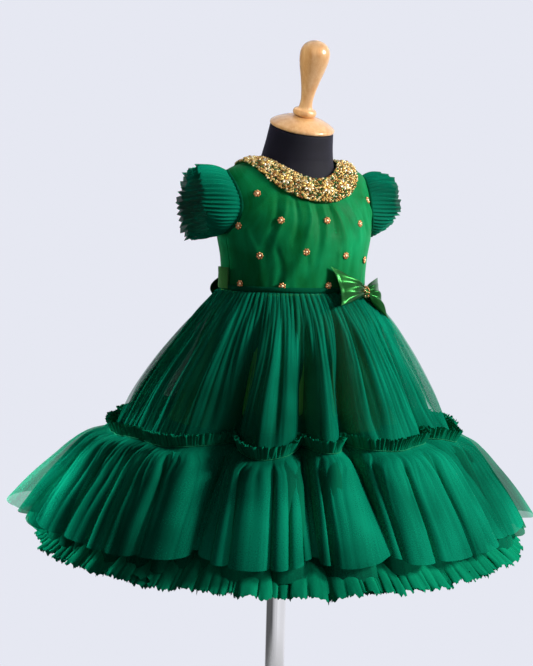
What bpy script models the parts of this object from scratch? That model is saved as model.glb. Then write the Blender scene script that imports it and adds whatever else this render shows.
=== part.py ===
"""Ruffled net party dress for a small child, worn by a limbless dress form.

The front faces -Y, the wearer's left is +X and the form stands on z = 0.
Every cloth piece is an open surface worked out from its sizes, thickened with Solidify.
"""

import math

import bmesh
import bpy
import numpy as np
from mathutils import Matrix, Vector

# Driving dimensions of the dress, in metres
WAIST_Z = 0.660
BODY_Y = -0.022
CLOTH = 0.0012
SEAM_GAP = 0.0003
SKIRT_DROP = 0.178
FLOUNCE_DROP = 0.295
FLOUNCE_HEM_RADIUS = 0.315
HEADING = 0.013
HEADING_OUT = 0.0045
HEADING_WAVE = 0.0020
FLOUNCE_CLEAR = 0.0037
UNDERSKIRT_CLEAR = 0.0021
NECK_RADIUS = 0.049
BAND_WIDTH = 0.029
FRONT_SCOOP = 0.0055
BAND_TAPER = 0.0045
SIDE_SEAM = math.radians(82)
UNDERARM = 0.0725
SHOULDER_TIP = 0.149
STRIP_HEIGHT = 0.0065

# Counts of gathers, flutes, waves and pleats
SKIRT_GATHERS = 56
FLOUNCE_FLUTES = 38
UNDERSKIRT_WAVES = 20
SLEEVE_PLEATS = 24
ROSETTES = 15

# Driving dimensions of the dress form
FORM_INSET = 0.0034
FORM_SUNK = 0.0054
FORM_CHEST = 0.112
FORM_BOTTOM = -0.135
NECK_TILT = math.radians(18)
NECK_TOP = 0.2065
NECK_TOP_Y = -0.0125
POLE_RADIUS = 0.013
BASE_RADIUS = 0.145
BASE_EDGE = 0.008
BASE_TOP = 0.020

# Body sections: height above the waist, half width, front depth, back depth
BODY_ROWS = (
    (-0.135, 0.0880, 0.0780, 0.0800),
    (-0.090, 0.1000, 0.0860, 0.0900),
    (-0.045, 0.1010, 0.0840, 0.0840),
    (0.000, 0.0975, 0.0800, 0.0740),
    (0.040, 0.0985, 0.0830, 0.0770),
    (0.0725, 0.1045, 0.0830, 0.0810),
    (0.100, 0.1055, 0.0780, 0.0810),
    (0.125, 0.1040, 0.0655, 0.0740),
    (0.138, 0.1010, 0.0560, 0.0660),
    (0.147, 0.0980, 0.0480, 0.0585),
    (0.153, 0.0920, 0.0405, 0.0510),
    (0.158, 0.0800, 0.0330, 0.0430),
    (0.162, 0.0640, 0.0250, 0.0340),
    (0.165, 0.0480, 0.0190, 0.0270),
    (0.168, 0.0300, 0.0120, 0.0180),
)

# Neck rings of the form: height above the waist, radius, shift forward, share of the tilt
NECK_ROWS = (
    (0.1675, 0.0466, 0.0020, 0.30),
    (0.184, 0.0436, 0.0065, 0.65),
    (NECK_TOP, 0.0408, -NECK_TOP_Y, 1.00),
)

# Upper skirt: drop below the waist, half width, front and back depth, centre y, gather, fold share
SKIRT_ROWS = (
    (0.0003, 0.0998, 0.0823, 0.0763, BODY_Y, 0.0014, 0.00),
    (0.012, 0.1100, 0.0950, 0.0900, -0.0220, 0.0020, 0.02),
    (0.029, 0.1240, 0.1130, 0.1100, -0.0205, 0.0024, 0.08),
    (0.068, 0.1560, 0.1490, 0.1490, -0.0150, 0.0030, 0.30),
    (0.120, 0.1905, 0.1880, 0.1880, -0.0060, 0.0030, 0.66),
    (SKIRT_DROP, 0.2130, 0.2130, 0.2130, 0.0000, 0.0008, 1.00),
)

FOLD_FULL = 0.040

# Deep folds between the lobes: angle from the front towards +X, depth at the seam, half width
FOLDS = (
    (-150, 0.036, 7.0),
    (-122, 0.032, 6.5),
    (-47, 0.040, 7.5),
    (-20, 0.034, 6.0),
    (-2.5, 0.034, 6.0),
    (35, 0.036, 7.0),
    (78, 0.034, 7.0),
    (110, 0.036, 7.0),
    (140, 0.034, 6.5),
    (163, 0.034, 6.0),
)

# Flounce from its gathering thread: share outwards, share downwards, flute depth, fold share
FLOUNCE_ROWS = (
    (0.00, 0.00, 0.0000, 1.00),
    (0.17, 0.06, 0.0030, 0.78),
    (0.50, 0.36, 0.0055, 0.62),
    (1.00, 1.00, 0.0095, 0.42),
)

# Net points that reach further out at the hem: angle, reach, half width in degrees
HEM_POINTS = (
    (-112, 0.030, 9.0),
    (56, 0.016, 8.0),
    (150, 0.018, 9.0),
)

# Satin lining skirt: drop, half width, front and back depth, centre y
LINING_ROWS = (
    (0.0006, 0.0957, 0.0782, 0.0722, BODY_Y),
    (0.030, 0.1070, 0.0930, 0.0890, -0.0205),
    (0.080, 0.1240, 0.1140, 0.1140, -0.0160),
    (0.125, 0.1380, 0.1310, 0.1310, -0.0110),
    (0.190, 0.1570, 0.1530, 0.1530, -0.0060),
)

# Net underskirt, hung from the lining: drop, radius, centre y, wave depth
UNDERSKIRT_TOP = 0.132
UNDERSKIRT_ROWS = (
    (0.178, 0.1600, -0.0040, 0.0010),
    (0.232, 0.2160, 0.0000, 0.0040),
    (0.285, 0.2680, 0.0000, 0.0055),
    (0.322, 0.3140, 0.0000, 0.0060),
)

# Sleeve ruffle rim: degrees from the top towards the front, reach, y, height above the waist
RIM_ROWS = (
    (0, 0.134, -0.012, 0.155),
    (45, 0.137, -0.037, 0.141),
    (90, 0.136, -0.048, 0.111),
    (135, 0.129, -0.039, 0.086),
    (180, 0.120, -0.011, 0.069),
    (225, 0.134, 0.022, 0.064),
    (270, 0.140, 0.037, 0.104),
    (315, 0.138, 0.021, 0.141),
    (360, 0.134, -0.012, 0.155),
)

RUFFLE_LENGTH = 0.045
RUFFLE_TAPER = 3.2
ROOT_LIFT = 0.0016

# Handle profile: distance above the cap, radius
HANDLE_PROFILE = (
    (0.0965, 0.0), (0.0950, 0.0075), (0.0905, 0.0145), (0.0840, 0.0182), (0.0750, 0.0188),
    (0.0630, 0.0168), (0.0460, 0.0124), (0.0300, 0.0090), (0.0170, 0.0079), (0.0105, 0.0095),
    (0.0085, 0.0138), (0.0050, 0.0152), (0.0015, 0.0140), (0.0003, 0.0120), (0.0003, 0.0),
)
CAP_PROFILE = (
    (0.0160, 0.0), (0.0158, 0.0120), (0.0140, 0.0220), (0.0108, 0.0310), (0.0070, 0.0380),
    (0.0040, 0.0415), (0.0015, 0.0415), (0.0003, 0.0395), (0.0003, 0.0),
)

# Bead studs: angle round the body, height above the waist
STUDS = (
    (-48, 0.1210), (50, 0.1170),
    (-66, 0.0810), (-32, 0.0890), (1, 0.0900), (32, 0.0870),
    (-50, 0.0450), (-15, 0.0510), (18, 0.0470), (46, 0.0410),
    (-68, 0.0090), (-32, 0.0080), (4, 0.0095),
    (116, 0.0870), (148, 0.0870), (-116, 0.0870), (-148, 0.0870),
    (132, 0.0480), (164, 0.0480), (-132, 0.0480), (-164, 0.0480),
)
STUD_RADIUS = 0.0043
STUD_HEIGHT = 0.0026

# Bows: place round the waist, height, standoff, height of what the knot is sewn to, lean, turn,
# wing length, half height, droop
KNOT_TAPER = 0.35
FRONT_BOW = dict(angle=33, height=0.002, out=0.0165, seat=0.0026, lean=27, turn=12,
                 length=0.047, half=0.0250, droop=0.0)
BACK_BOW = dict(angle=180, height=0.014, out=0.0120, seat=0.0005, lean=6, turn=0,
                length=0.077, half=0.0140, droop=0.016)

# Sash ends: drop below the waist, place and half width in degrees round the skirt
TAIL_ROWS = (
    (-0.0027, 3.2, 2.6), (0.008, 5.8, 4.4), (0.020, 7.5, 5.8), (0.040, 8.5, 6.5),
    (0.065, 8.7, 6.5), (0.090, 8.8, 6.3), (0.115, 8.8, 6.0),
)
TAIL_CLEAR = 0.0078
TAIL_CROWN = 0.002
TAIL_SLANT = 0.008

GREEN_NET = ("green_net", (0.0, 0.16, 0.09), 0.75, 0.0)
GREEN_SATIN = ("green_satin", (0.01, 0.09, 0.02), 0.35, 0.0)
BODICE_NET = ("bodice_net", (0.0, 0.22, 0.07), 0.6, 0.0)
GOLD_BEADS = ("gold_beads", (0.62, 0.42, 0.18), 0.35, 0.8)
BLACK_JERSEY = ("black_jersey", (0.01, 0.01, 0.015), 0.85, 0.0)
VARNISHED_WOOD = ("varnished_wood", (0.72, 0.43, 0.17), 0.25, 0.0)
CHROME = ("chrome", (0.8, 0.8, 0.8), 0.1, 1.0)
BASE_METAL = ("base_metal", (0.55, 0.55, 0.56), 0.25, 1.0)


# Scene and object helpers

def clear_scene():
    for item in list(bpy.data.objects):
        bpy.data.objects.remove(item, do_unlink=True)


def material(spec):
    name, colour, roughness, metallic = spec
    found = bpy.data.materials.get(name)
    if found:
        return found
    made = bpy.data.materials.new(name)
    made.use_nodes = True
    shader = made.node_tree.nodes["Principled BSDF"]
    shader.inputs["Base Color"].default_value = (*colour, 1.0)
    shader.inputs["Roughness"].default_value = roughness
    shader.inputs["Metallic"].default_value = metallic
    return made


def add_object(name, mesh, spec, collection):
    mesh.materials.append(material(spec))
    item = bpy.data.objects.new(name, mesh)
    collection.objects.link(item)
    return item


def grid_mesh(name, rows, closed):
    """A surface through rows of points, facing down-cross-along each row."""
    mesh = bpy.data.meshes.new(name)
    count = len(rows[0])
    steps = count if closed else count - 1
    faces = []
    for i in range(len(rows) - 1):
        for j in range(steps):
            k = (j + 1) % count
            faces.append((i * count + j, (i + 1) * count + j, (i + 1) * count + k, i * count + k))
    mesh.from_pydata([tuple(point) for row in rows for point in row], [], faces)
    mesh.update()
    return mesh


def lifted(rows, closed, distance):
    """The same rows moved out along the surface's normals."""
    mesh = grid_mesh("lift", rows, closed)
    count = len(rows[0])
    normals = [vertex.normal.copy() for vertex in mesh.vertices]
    bpy.data.meshes.remove(mesh)
    moved = []
    for i, row in enumerate(rows):
        moved.append([Vector(point) + normals[i * count + j] * distance for j, point in enumerate(row)])
    return moved


def cloth(name, rows, closed, spec, collection, thickness=CLOTH):
    """A cloth wall whose outer face goes through the rows."""
    item = add_object(name, grid_mesh(name, rows, closed), spec, collection)
    wall = item.modifiers.new("wall", "SOLIDIFY")
    wall.thickness = thickness
    wall.offset = -1.0
    return item


def solid_loft(name, rings, spec, collection):
    """A closed body through rings, with a flat face at each end."""
    mesh = grid_mesh(name, rings, True)
    work = bmesh.new()
    work.from_mesh(mesh)
    bmesh.ops.holes_fill(work, edges=[edge for edge in work.edges if edge.is_boundary], sides=0)
    bmesh.ops.recalc_face_normals(work, faces=work.faces)
    work.to_mesh(mesh)
    work.free()
    mesh.shade_smooth()
    return add_object(name, mesh, spec, collection)


def turned(name, profile, segments, spec, collection):
    """A body of revolution from (height, radius) points, from the top down."""
    mesh = bpy.data.meshes.new(name)
    points = [(radius, 0.0, height) for height, radius in profile]
    mesh.from_pydata(points, [(i, i + 1) for i in range(len(points) - 1)], [])
    item = add_object(name, mesh, spec, collection)
    screw = item.modifiers.new("turn", "SCREW")
    screw.steps = segments
    screw.render_steps = segments
    screw.use_merge_vertices = True
    screw.merge_threshold = 0.00001
    screw.use_smooth_shade = True
    return item


# Sections of the body

def smooth(rows, x):
    """Cubic interpolation of a table's columns at x, its first column."""
    table = np.array(rows)
    keys = table[:, 0]
    slopes = np.gradient(table[:, 1:], keys, axis=0)
    i = int(np.clip(np.searchsorted(keys, x) - 1, 0, len(keys) - 2))
    span = keys[i + 1] - keys[i]
    t = min(max((x - keys[i]) / span, 0.0), 1.0)
    near = table[i, 1:] * (1 + 2 * t) * (1 - t) ** 2 + slopes[i] * span * t * (1 - t) ** 2
    far = table[i + 1, 1:] * t * t * (3 - 2 * t) + slopes[i + 1] * span * t * t * (t - 1)
    return near + far


def body_point(angle, height, out=0.0):
    """A point on the clothed body; angle 0 is the front and a quarter turn is +X."""
    half, front, back = smooth(BODY_ROWS, height)
    depth = front if math.cos(angle) > 0 else back
    x = (half + out) * math.sin(angle)
    y = BODY_Y - (depth + out) * math.cos(angle)
    return Vector((x, y, WAIST_Z + height))


def shoulder_height(x, y):
    """Height above the waist where the body's upper surface passes over (x, y)."""
    low = 0.06
    high = 0.175
    for _ in range(40):
        middle = (low + high) / 2
        half, front, back = smooth(BODY_ROWS, middle)
        depth = front if y < BODY_Y else back
        inside = (x / half) ** 2 + ((y - BODY_Y) / depth) ** 2 < 1
        low, high = (middle, high) if inside else (low, middle)
    return low


def body_angle(x, y, height):
    half, front, back = smooth(BODY_ROWS, height)
    depth = front if y < BODY_Y else back
    return math.atan2(x / half, (BODY_Y - y) / depth)


def around_neck(turn, share):
    """A point on the body round the neck; share 0 is the neckline and 1 the band's outer edge."""
    front = max(math.cos(turn), 0.0) ** 2
    reach = NECK_RADIUS + BAND_WIDTH * share + FRONT_SCOOP * front * (1 - share) - BAND_TAPER * front * share
    x = reach * math.sin(turn)
    y = BODY_Y - reach * math.cos(turn)
    return Vector((x, y, WAIST_Z + shoulder_height(x, y)))


def neck_edge(turn):
    """(angle, height) of a point of the neckline, turn 0 at the front."""
    point = around_neck(turn, 0.03)
    height = point.z - WAIST_Z
    return Vector((body_angle(point.x, point.y, height), height))


def armhole_edge(share, back):
    """(angle, height) on the armhole, share 0 at the underarm and 1 at the shoulder tip."""
    height = UNDERARM + (SHOULDER_TIP - UNDERARM) * (1 - math.cos(math.pi * share)) / 2
    seam = SIDE_SEAM if not back else math.pi - SIDE_SEAM
    reach = math.radians(24) if not back else math.radians(30)
    angle = seam + (math.pi / 2 - seam) * share - reach * math.sin(math.pi * share) ** 1.4
    return Vector((angle if not back else math.pi - angle, height))


# Bodice panels

PANEL_COLUMNS = 9
PANEL_ROWS = 9
SEAM_SLACK = 0.0005
SEAM_TURN = 0.004
NECK_SHARE = 0.55
SEAM_SHARE = 0.42


def panel_rows(back, side):
    """Rows of a half panel from its top edge down, from its centre line to its side."""
    seam = math.pi - SIDE_SEAM - SEAM_TURN if back else SIDE_SEAM - SEAM_TURN

    def from_centre(point):
        return Vector((math.pi - point.x, point.y)) if back else point

    def top(u):
        if u < NECK_SHARE:
            turn = math.pi / 2 * u / NECK_SHARE
            return from_centre(neck_edge(math.pi - turn if back else turn))
        share = (u - NECK_SHARE) / (1 - NECK_SHARE)
        high = neck_edge(math.pi / 2).y
        return Vector((math.pi / 2, high + (SHOULDER_TIP - high) * share ** 1.6))

    def side_edge(v):
        if v < SEAM_SHARE:
            return Vector((seam, UNDERARM * v / SEAM_SHARE))
        return from_centre(armhole_edge((v - SEAM_SHARE) / (1 - SEAM_SHARE), back))

    rows = []
    for i in range(PANEL_ROWS + 1):
        v = 1 - i / PANEL_ROWS
        row = []
        for j in range(PANEL_COLUMNS + 1):
            u = j / PANEL_COLUMNS
            edge = side_edge(v)
            spread = u + (top(u).x / (math.pi / 2) - u) * v ** 4
            height = top(u).y * v + (edge.y - top(1).y * v) * u
            place = Vector((edge.x * spread, height))
            angle = math.pi - place.x if back else place.x
            point = body_point(side * angle, place.y)
            if i == 0 and u > NECK_SHARE:
                point.y = BODY_Y + (SEAM_SLACK if back else -SEAM_SLACK)
            row.append(point)
        rows.append(row)
    return rows


def build_bodice(collection):
    right = panel_rows(False, 1)
    left = panel_rows(False, -1)
    rows = [list(reversed(a))[:-1] + b for a, b in zip(left, right)]
    cloth("bodice_front", rows, False, BODICE_NET, collection)
    for name, side in (("bodice_back_left", 1), ("bodice_back_right", -1)):
        rows = panel_rows(True, side)
        for row in rows:
            row[0].x = side * 0.0004
        if side > 0:
            rows = [list(reversed(row)) for row in rows]
        cloth(name, rows, False, BODICE_NET, collection)


def build_waist_strip(collection):
    steps = 40
    rows = []
    for height in (STRIP_HEIGHT, 0.0005):
        rows.append([body_point(2 * math.pi * j / steps, height, 0.0020) for j in range(steps)])
    cloth("waist_strip", rows, True, BODICE_NET, collection)


def build_neck_band(collection):
    """The beaded band round the neck, open at the centre back, with raised rosettes."""
    columns = ROSETTES * 4
    bands = 4
    slit = 0.0006
    rows = []
    for i in range(bands + 1):
        row = []
        for j in range(columns + 1):
            turn = -math.pi + 2 * math.pi * j / columns
            point = around_neck(turn, i / bands)
            if j in (0, columns):
                point.x = slit if j else -slit
            row.append(point)
        rows.append(row)
    base = lifted(rows, False, 0.0030)
    crown = lifted(rows, False, 0.0052)
    for i in range(1, bands):
        for j in range(1, columns):
            near = abs((j + 2) % 4 - 2) + abs(i - bands // 2)
            share = (1.0, 0.5)[near] if near < 2 else 0.0
            base[i][j] = base[i][j].lerp(crown[i][j], share)
    cloth("neck_band", base, False, GOLD_BEADS, collection, 0.0016)


# Sleeve ruffles

def build_sleeve(name, side, collection):
    steps = SLEEVE_PLEATS * 2
    root = []
    for j in range(steps):
        turn = j / steps * 2
        back = turn >= 1
        share = turn - 1 if back else 1 - turn
        edge = armhole_edge(share, back)
        root.append(body_point(edge.x, edge.y, 0.0))
    middle = sum(root, Vector()) / steps
    rows = []
    for t, depth in ((0.0, 0.0004), (0.35, 0.0016), (0.68, 0.0024), (1.0, 0.0030)):
        row = []
        for j, start in enumerate(root):
            reach, y, height = smooth(RIM_ROWS, 360 * j / steps)
            rim = Vector((reach, y, WAIST_Z + height))
            out = Vector((0, start.y - middle.y, start.z - middle.z)).normalized()
            start = start + Vector((ROOT_LIFT, 0, 0))
            fullness = min((rim - start).length / RUFFLE_LENGTH, 1.0) ** RUFFLE_TAPER
            point = start.lerp(rim, t) + out * 0.003 * math.sin(math.pi * t)
            point += out * depth * fullness * (1 if j % 2 else -1)
            row.append(Vector((side * point.x, point.y, point.z)))
        rows.append(row)
    if side > 0:
        rows = [list(reversed(row)) for row in rows]
    cloth(name, rows, True, GREEN_NET, collection, 0.0011)


# Skirt layers

def fold_depth(angle):
    """Depth of the deep folds at an angle in radians."""
    total = 0.0
    for place, depth, width in FOLDS:
        off = (math.degrees(angle) - place + 180) % 360 - 180
        total += depth * math.exp(-(off / width) ** 2)
    return total


def skirt_ring(drop, half, front, back, centre, gather, fold, count):
    ring = []
    for j in range(count):
        angle = 2 * math.pi * j / count
        uneven = 0.75 + 0.25 * math.sin(5 * angle + 1)
        shift = gather * uneven * (1 if j % 2 else -1) - fold * fold_depth(angle)
        x = (half + shift) * math.sin(angle)
        depth = front if math.cos(angle) > 0 else back
        y = centre - (depth + shift) * math.cos(angle)
        ring.append(Vector((x, y, WAIST_Z - drop)))
    return ring


def pushed(ring, distance):
    """A level ring moved out along its own normals."""
    moved = []
    count = len(ring)
    for j, point in enumerate(ring):
        along = ring[(j + 1) % count] - ring[j - 1]
        normal = Vector((along.y, -along.x, 0)).normalized()
        moved.append(point + normal * distance)
    return moved


def build_upper_skirt(collection):
    count = SKIRT_GATHERS * 2
    rows = [skirt_ring(*row, count) for row in SKIRT_ROWS]
    cloth("upper_skirt", rows, True, GREEN_NET, collection)


def hem_reach(angle):
    total = 0.0
    for place, reach, width in HEM_POINTS:
        off = (math.degrees(angle) - place + 180) % 360 - 180
        total += reach * math.exp(-(off / width) ** 2)
    return total


def build_flounce(collection):
    count = FLOUNCE_FLUTES * 4
    seam_radius = SKIRT_ROWS[-1][1]
    seam = skirt_ring(SKIRT_DROP, seam_radius, seam_radius, seam_radius, 0.0, 0.0, 1.0, count)
    start = pushed(seam, FLOUNCE_CLEAR)
    rows = []
    top = []
    for j, point in enumerate(start):
        wave = HEADING_OUT + HEADING_WAVE * (1 if j % 4 < 2 else -1)
        outward = Vector((point.x, point.y, 0)).normalized()
        top.append(point + outward * wave + Vector((0, 0, HEADING)))
    rows.append(top)
    for out, down, flute, fold in FLOUNCE_ROWS:
        row = []
        for j, point in enumerate(start):
            angle = 2 * math.pi * j / count
            outward = Vector((math.sin(angle), -math.cos(angle), 0))
            reach = hem_reach(angle)
            hem = FLOUNCE_HEM_RADIUS + reach
            lobe = seam_radius + HEADING_OUT
            sunk = fold_depth(angle)
            radius = lobe + (hem - lobe) * out - fold * sunk
            radius += flute * (1 - 0.7 * sunk / FOLD_FULL) * (0.0, 1.0, 0.0, -1.0)[j % 4]
            hem_drop = FLOUNCE_DROP - 0.4 * reach
            drop = SKIRT_DROP + (hem_drop - SKIRT_DROP) * down
            if down == 0.0:
                row.append(point)
            else:
                row.append(outward * radius + Vector((0, 0, WAIST_Z - drop)))
        rows.append(row)
    cloth("flounce", rows, True, GREEN_NET, collection)


def build_lining(collection):
    count = 44
    rows = [skirt_ring(*row, 0.0, 0.0, count) for row in LINING_ROWS]
    cloth("satin_lining", rows, True, GREEN_SATIN, collection)


def build_underskirt(collection):
    count = UNDERSKIRT_WAVES * 4
    seam = skirt_ring(UNDERSKIRT_TOP, *smooth(LINING_ROWS, UNDERSKIRT_TOP), 0.0, 0.0, count)
    rows = [pushed(seam, UNDERSKIRT_CLEAR)]
    for drop, radius, centre, depth in UNDERSKIRT_ROWS:
        row = []
        for j in range(count):
            angle = 2 * math.pi * j / count
            reach = radius + depth * (0.0, 1.0, 0.0, -1.0)[j % 4]
            row.append(Vector((reach * math.sin(angle), centre - reach * math.cos(angle), WAIST_Z - drop)))
        rows.append(row)
    cloth("net_underskirt", rows, True, GREEN_NET, collection)


# Bows and sash

def bow_matrix(bow):
    """Local x runs along the bow, local z up it and local -y away from the body."""
    angle = math.radians(bow["angle"])
    along = body_point(angle + 0.01, bow["height"]) - body_point(angle - 0.01, bow["height"])
    outward = Vector((along.y, -along.x, 0)).normalized()
    place = body_point(angle, bow["height"]) + outward * bow["out"]
    spin = Matrix.Rotation(math.atan2(outward.x, -outward.y), 4, "Z")
    lean = Matrix.Rotation(math.radians(-bow["lean"]), 4, "X")
    turn = Matrix.Rotation(math.radians(bow["turn"]), 4, "Y")
    return Matrix.Translation(place) @ spin @ lean @ turn


def bow_wing(name, bow, side, collection):
    """One wing: double satin pinched at the knot, with two soft creases."""
    rows = []
    across = 8
    for t in (0.0, 0.25, 0.5, 0.78, 1.0):
        half = bow["half"] * (0.26 + 0.74 * t ** 0.8)
        row = []
        for k in range(across + 1):
            v = 1 - 2 * k / across
            x = 0.0072 + (bow["length"] - 0.0072) * t + 0.10 * bow["length"] * t * v * v
            puff = 0.24 * bow["half"] * math.sin(math.pi * min(t * 1.15, 1.0)) * (1 - v * v)
            crease = 0.040 * bow["half"] * (1 - t) * math.cos(2 * math.pi * v)
            bend = 0.10 * bow["length"] * t * t
            row.append(Vector((side * x, bend - puff - crease, half * v - bow["droop"] * t)))
        rows.append(row)
    matrix = bow_matrix(bow)
    rows = [[matrix @ point for point in row] for row in rows]
    columns = [list(column) for column in zip(*rows)]
    if side < 0:
        columns = [list(reversed(column)) for column in columns]
    cloth(name, columns, False, GREEN_SATIN, collection, 0.0016)


def bow_knot(name, bow, half_width, half_height, front, spec, collection):
    """The knot, from its front face back to what the bow is sewn to; its rear is level and slimmer."""
    lean = math.radians(bow["lean"])
    back = (bow["out"] - bow["seat"]) * math.cos(lean)
    work = bmesh.new()
    bmesh.ops.create_uvsphere(work, u_segments=12, v_segments=8, radius=1.0)
    bmesh.ops.scale(work, vec=Vector((half_width, (front + back) / 2, half_height)), verts=work.verts)
    bmesh.ops.translate(work, vec=Vector((0, (back - front) / 2, 0)), verts=work.verts)
    for vert in work.verts:
        if vert.co.y > 0:
            vert.co.z *= 1 - KNOT_TAPER * vert.co.y / back
            vert.co.z += vert.co.y * math.tan(lean)
    bmesh.ops.transform(work, matrix=bow_matrix(bow), verts=work.verts)
    mesh = bpy.data.meshes.new(name)
    work.to_mesh(mesh)
    work.free()
    mesh.shade_smooth()
    add_object(name, mesh, spec, collection)


def build_sash(name, side, collection):
    rows = []
    steps = 14
    for v in (1, 0, -1):
        row = []
        for j in range(steps + 1):
            t = j / steps
            angle = SIDE_SEAM - 0.01 + (math.radians(177.3) - SIDE_SEAM) * t
            half = 0.0135 - 0.0060 * t * t
            row.append(body_point(side * angle, 0.0150 + half * v, 0.0036))
        rows.append(row)
    if side < 0:
        rows = [list(reversed(row)) for row in rows]
    cloth(name, rows, False, GREEN_SATIN, collection)


def build_tail(name, side, collection):
    """A sash end hanging from the back knot over the skirt."""
    rows = []
    for drop, place, half_angle in TAIL_ROWS:
        row = []
        for v in (-1, 0, 1):
            slant = TAIL_SLANT * v * side if drop == TAIL_ROWS[-1][0] else 0.0
            half, _, deep, centre, gather, _ = smooth(SKIRT_ROWS, max(drop + slant, SEAM_GAP))
            angle = math.pi + math.radians(-side * place + v * half_angle)
            reach = TAIL_CLEAR + gather + TAIL_CROWN * (v == 0)
            x = (half + reach) * math.sin(angle)
            y = centre - (deep + reach) * math.cos(angle)
            row.append(Vector((x, y, WAIST_Z - drop - slant)))
        rows.append(row)
    cloth(name, rows, False, GREEN_SATIN, collection)


def build_bows(collection):
    bow_wing("front_bow_wing_inner", FRONT_BOW, -1, collection)
    bow_wing("front_bow_wing_outer", FRONT_BOW, 1, collection)
    bow_knot("front_bow_knot", FRONT_BOW, 0.0071, 0.0105, 0.0058, GOLD_BEADS, collection)
    bow_wing("back_bow_loop_right", BACK_BOW, 1, collection)
    bow_wing("back_bow_loop_left", BACK_BOW, -1, collection)
    bow_knot("back_bow_knot", BACK_BOW, 0.0071, 0.0120, 0.0060, GREEN_SATIN, collection)
    build_sash("sash_left", 1, collection)
    build_sash("sash_right", -1, collection)
    build_tail("sash_tail_left", 1, collection)
    build_tail("sash_tail_right", -1, collection)


# Bead studs on the bodice

def build_studs(collection):
    for number, (degrees, height) in enumerate(STUDS, 1):
        angle = math.radians(degrees)
        place = body_point(angle, height, 0.0)
        step = 0.002
        along = body_point(angle + step, height) - body_point(angle - step, height)
        upward = body_point(angle, height + step) - body_point(angle, height - step)
        normal = along.cross(upward).normalized()
        name = f"bead_stud_{number:02d}"
        profile = (
            (STUD_HEIGHT, 0.0), (STUD_HEIGHT * 0.8, STUD_RADIUS * 0.62), (0.0008, STUD_RADIUS),
            (0.0, STUD_RADIUS * 0.85), (0.0, 0.0),
        )
        stud = turned(name, profile, 7, GOLD_BEADS, collection)
        lift = 0.0024 if height < STRIP_HEIGHT + STUD_RADIUS else 0.0003
        facing = normal.to_track_quat("Z", "Y").to_matrix().to_4x4()
        stud.matrix_world = Matrix.Translation(place + normal * lift) @ facing


# Dress form

def tilted_ring(centre, half, deep, tilt, count):
    ring = []
    for j in range(count):
        angle = 2 * math.pi * j / count
        local = Vector((half * math.sin(angle), -deep * math.cos(angle), 0))
        ring.append(centre + Matrix.Rotation(tilt, 4, "X") @ local)
    return ring


def build_form(collection):
    count = 36
    turns = [2 * math.pi * j / count for j in range(count)]
    rings = []
    for height, radius, forward, share in reversed(NECK_ROWS):
        centre = Vector((0, BODY_Y - forward, WAIST_Z + height))
        rings.append(tilted_ring(centre, radius, radius, NECK_TILT * share, count))
    collar = [around_neck(turn, -0.03) for turn in turns]
    chest = [body_point(turn, FORM_CHEST, -FORM_INSET) for turn in turns]
    for share in (0.0, 0.33, 0.66, 0.88):
        ring = []
        for near, far in zip(collar, chest):
            x = near.x + (far.x - near.x) * share
            y = near.y + (far.y - near.y) * share
            ring.append(Vector((x, y, WAIST_Z + shoulder_height(x, y) - FORM_SUNK * (1 + 0.6 * share))))
        rings.append(ring)
    rings.append(chest)
    for height in (0.085, 0.045, 0.0, -0.045, -0.090, -0.120, FORM_BOTTOM):
        inset = FORM_INSET + (0.006 if height == FORM_BOTTOM else 0.0)
        rings.append([body_point(turn, height, -inset) for turn in turns])
    solid_loft("form_body", rings, BLACK_JERSEY, collection)


def neck_matrix():
    top = Vector((0, BODY_Y + NECK_TOP_Y, WAIST_Z + NECK_TOP))
    return Matrix.Translation(top) @ Matrix.Rotation(NECK_TILT, 4, "X")


def build_stand(collection):
    cap = turned("neck_cap", CAP_PROFILE, 28, VARNISHED_WOOD, collection)
    cap.matrix_world = neck_matrix()
    handle = turned("cap_handle", HANDLE_PROFILE, 16, VARNISHED_WOOD, collection)
    handle.matrix_world = neck_matrix() @ Matrix.Translation((0, 0, CAP_PROFILE[0][0]))
    base_profile = (
        (BASE_TOP, 0.0), (BASE_TOP, 0.030), (BASE_TOP - 0.003, 0.050), (BASE_EDGE + 0.003, 0.125),
        (BASE_EDGE, BASE_RADIUS - 0.003), (BASE_EDGE - 0.003, BASE_RADIUS), (0.0, BASE_RADIUS), (0.0, 0.0),
    )
    turned("stand_base", base_profile, 36, BASE_METAL, collection)
    bottom = BASE_TOP + SEAM_GAP
    top = WAIST_Z + FORM_BOTTOM - SEAM_GAP
    bpy.ops.mesh.primitive_cylinder_add(vertices=28, radius=POLE_RADIUS, depth=top - bottom,
                                        location=(0, 0, (top + bottom) / 2))
    pole = bpy.context.active_object
    pole.name = "stand_pole"
    pole.data.materials.append(material(CHROME))
    pole.data.shade_smooth()
    pole.data.set_sharp_from_angle(angle=math.radians(40))
    for owner in list(pole.users_collection):
        owner.objects.unlink(pole)
    collection.objects.link(pole)


def build():
    clear_scene()
    collection = bpy.data.collections.new("ruffled_dress")
    bpy.context.scene.collection.children.link(collection)
    build_form(collection)
    build_stand(collection)
    build_bodice(collection)
    build_waist_strip(collection)
    build_neck_band(collection)
    build_sleeve("sleeve_ruffle_left", 1, collection)
    build_sleeve("sleeve_ruffle_right", -1, collection)
    build_upper_skirt(collection)
    build_flounce(collection)
    build_lining(collection)
    build_underskirt(collection)
    build_bows(collection)
    build_studs(collection)


build()
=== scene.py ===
"""The looks of a ruffled net party dress on a limbless dress form.

The front faces -Y, the wearer's left is +X and the form stands on z = 0. Sizes are in metres.
Each cloth piece is worked out from the body's sections, from short tables of folds and from its
own gathers, flutes or pleats. Beads are scattered or set out with Geometry Nodes.
"""

import math

import bmesh
import bpy
import numpy as np
from mathutils import Matrix, Vector


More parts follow.
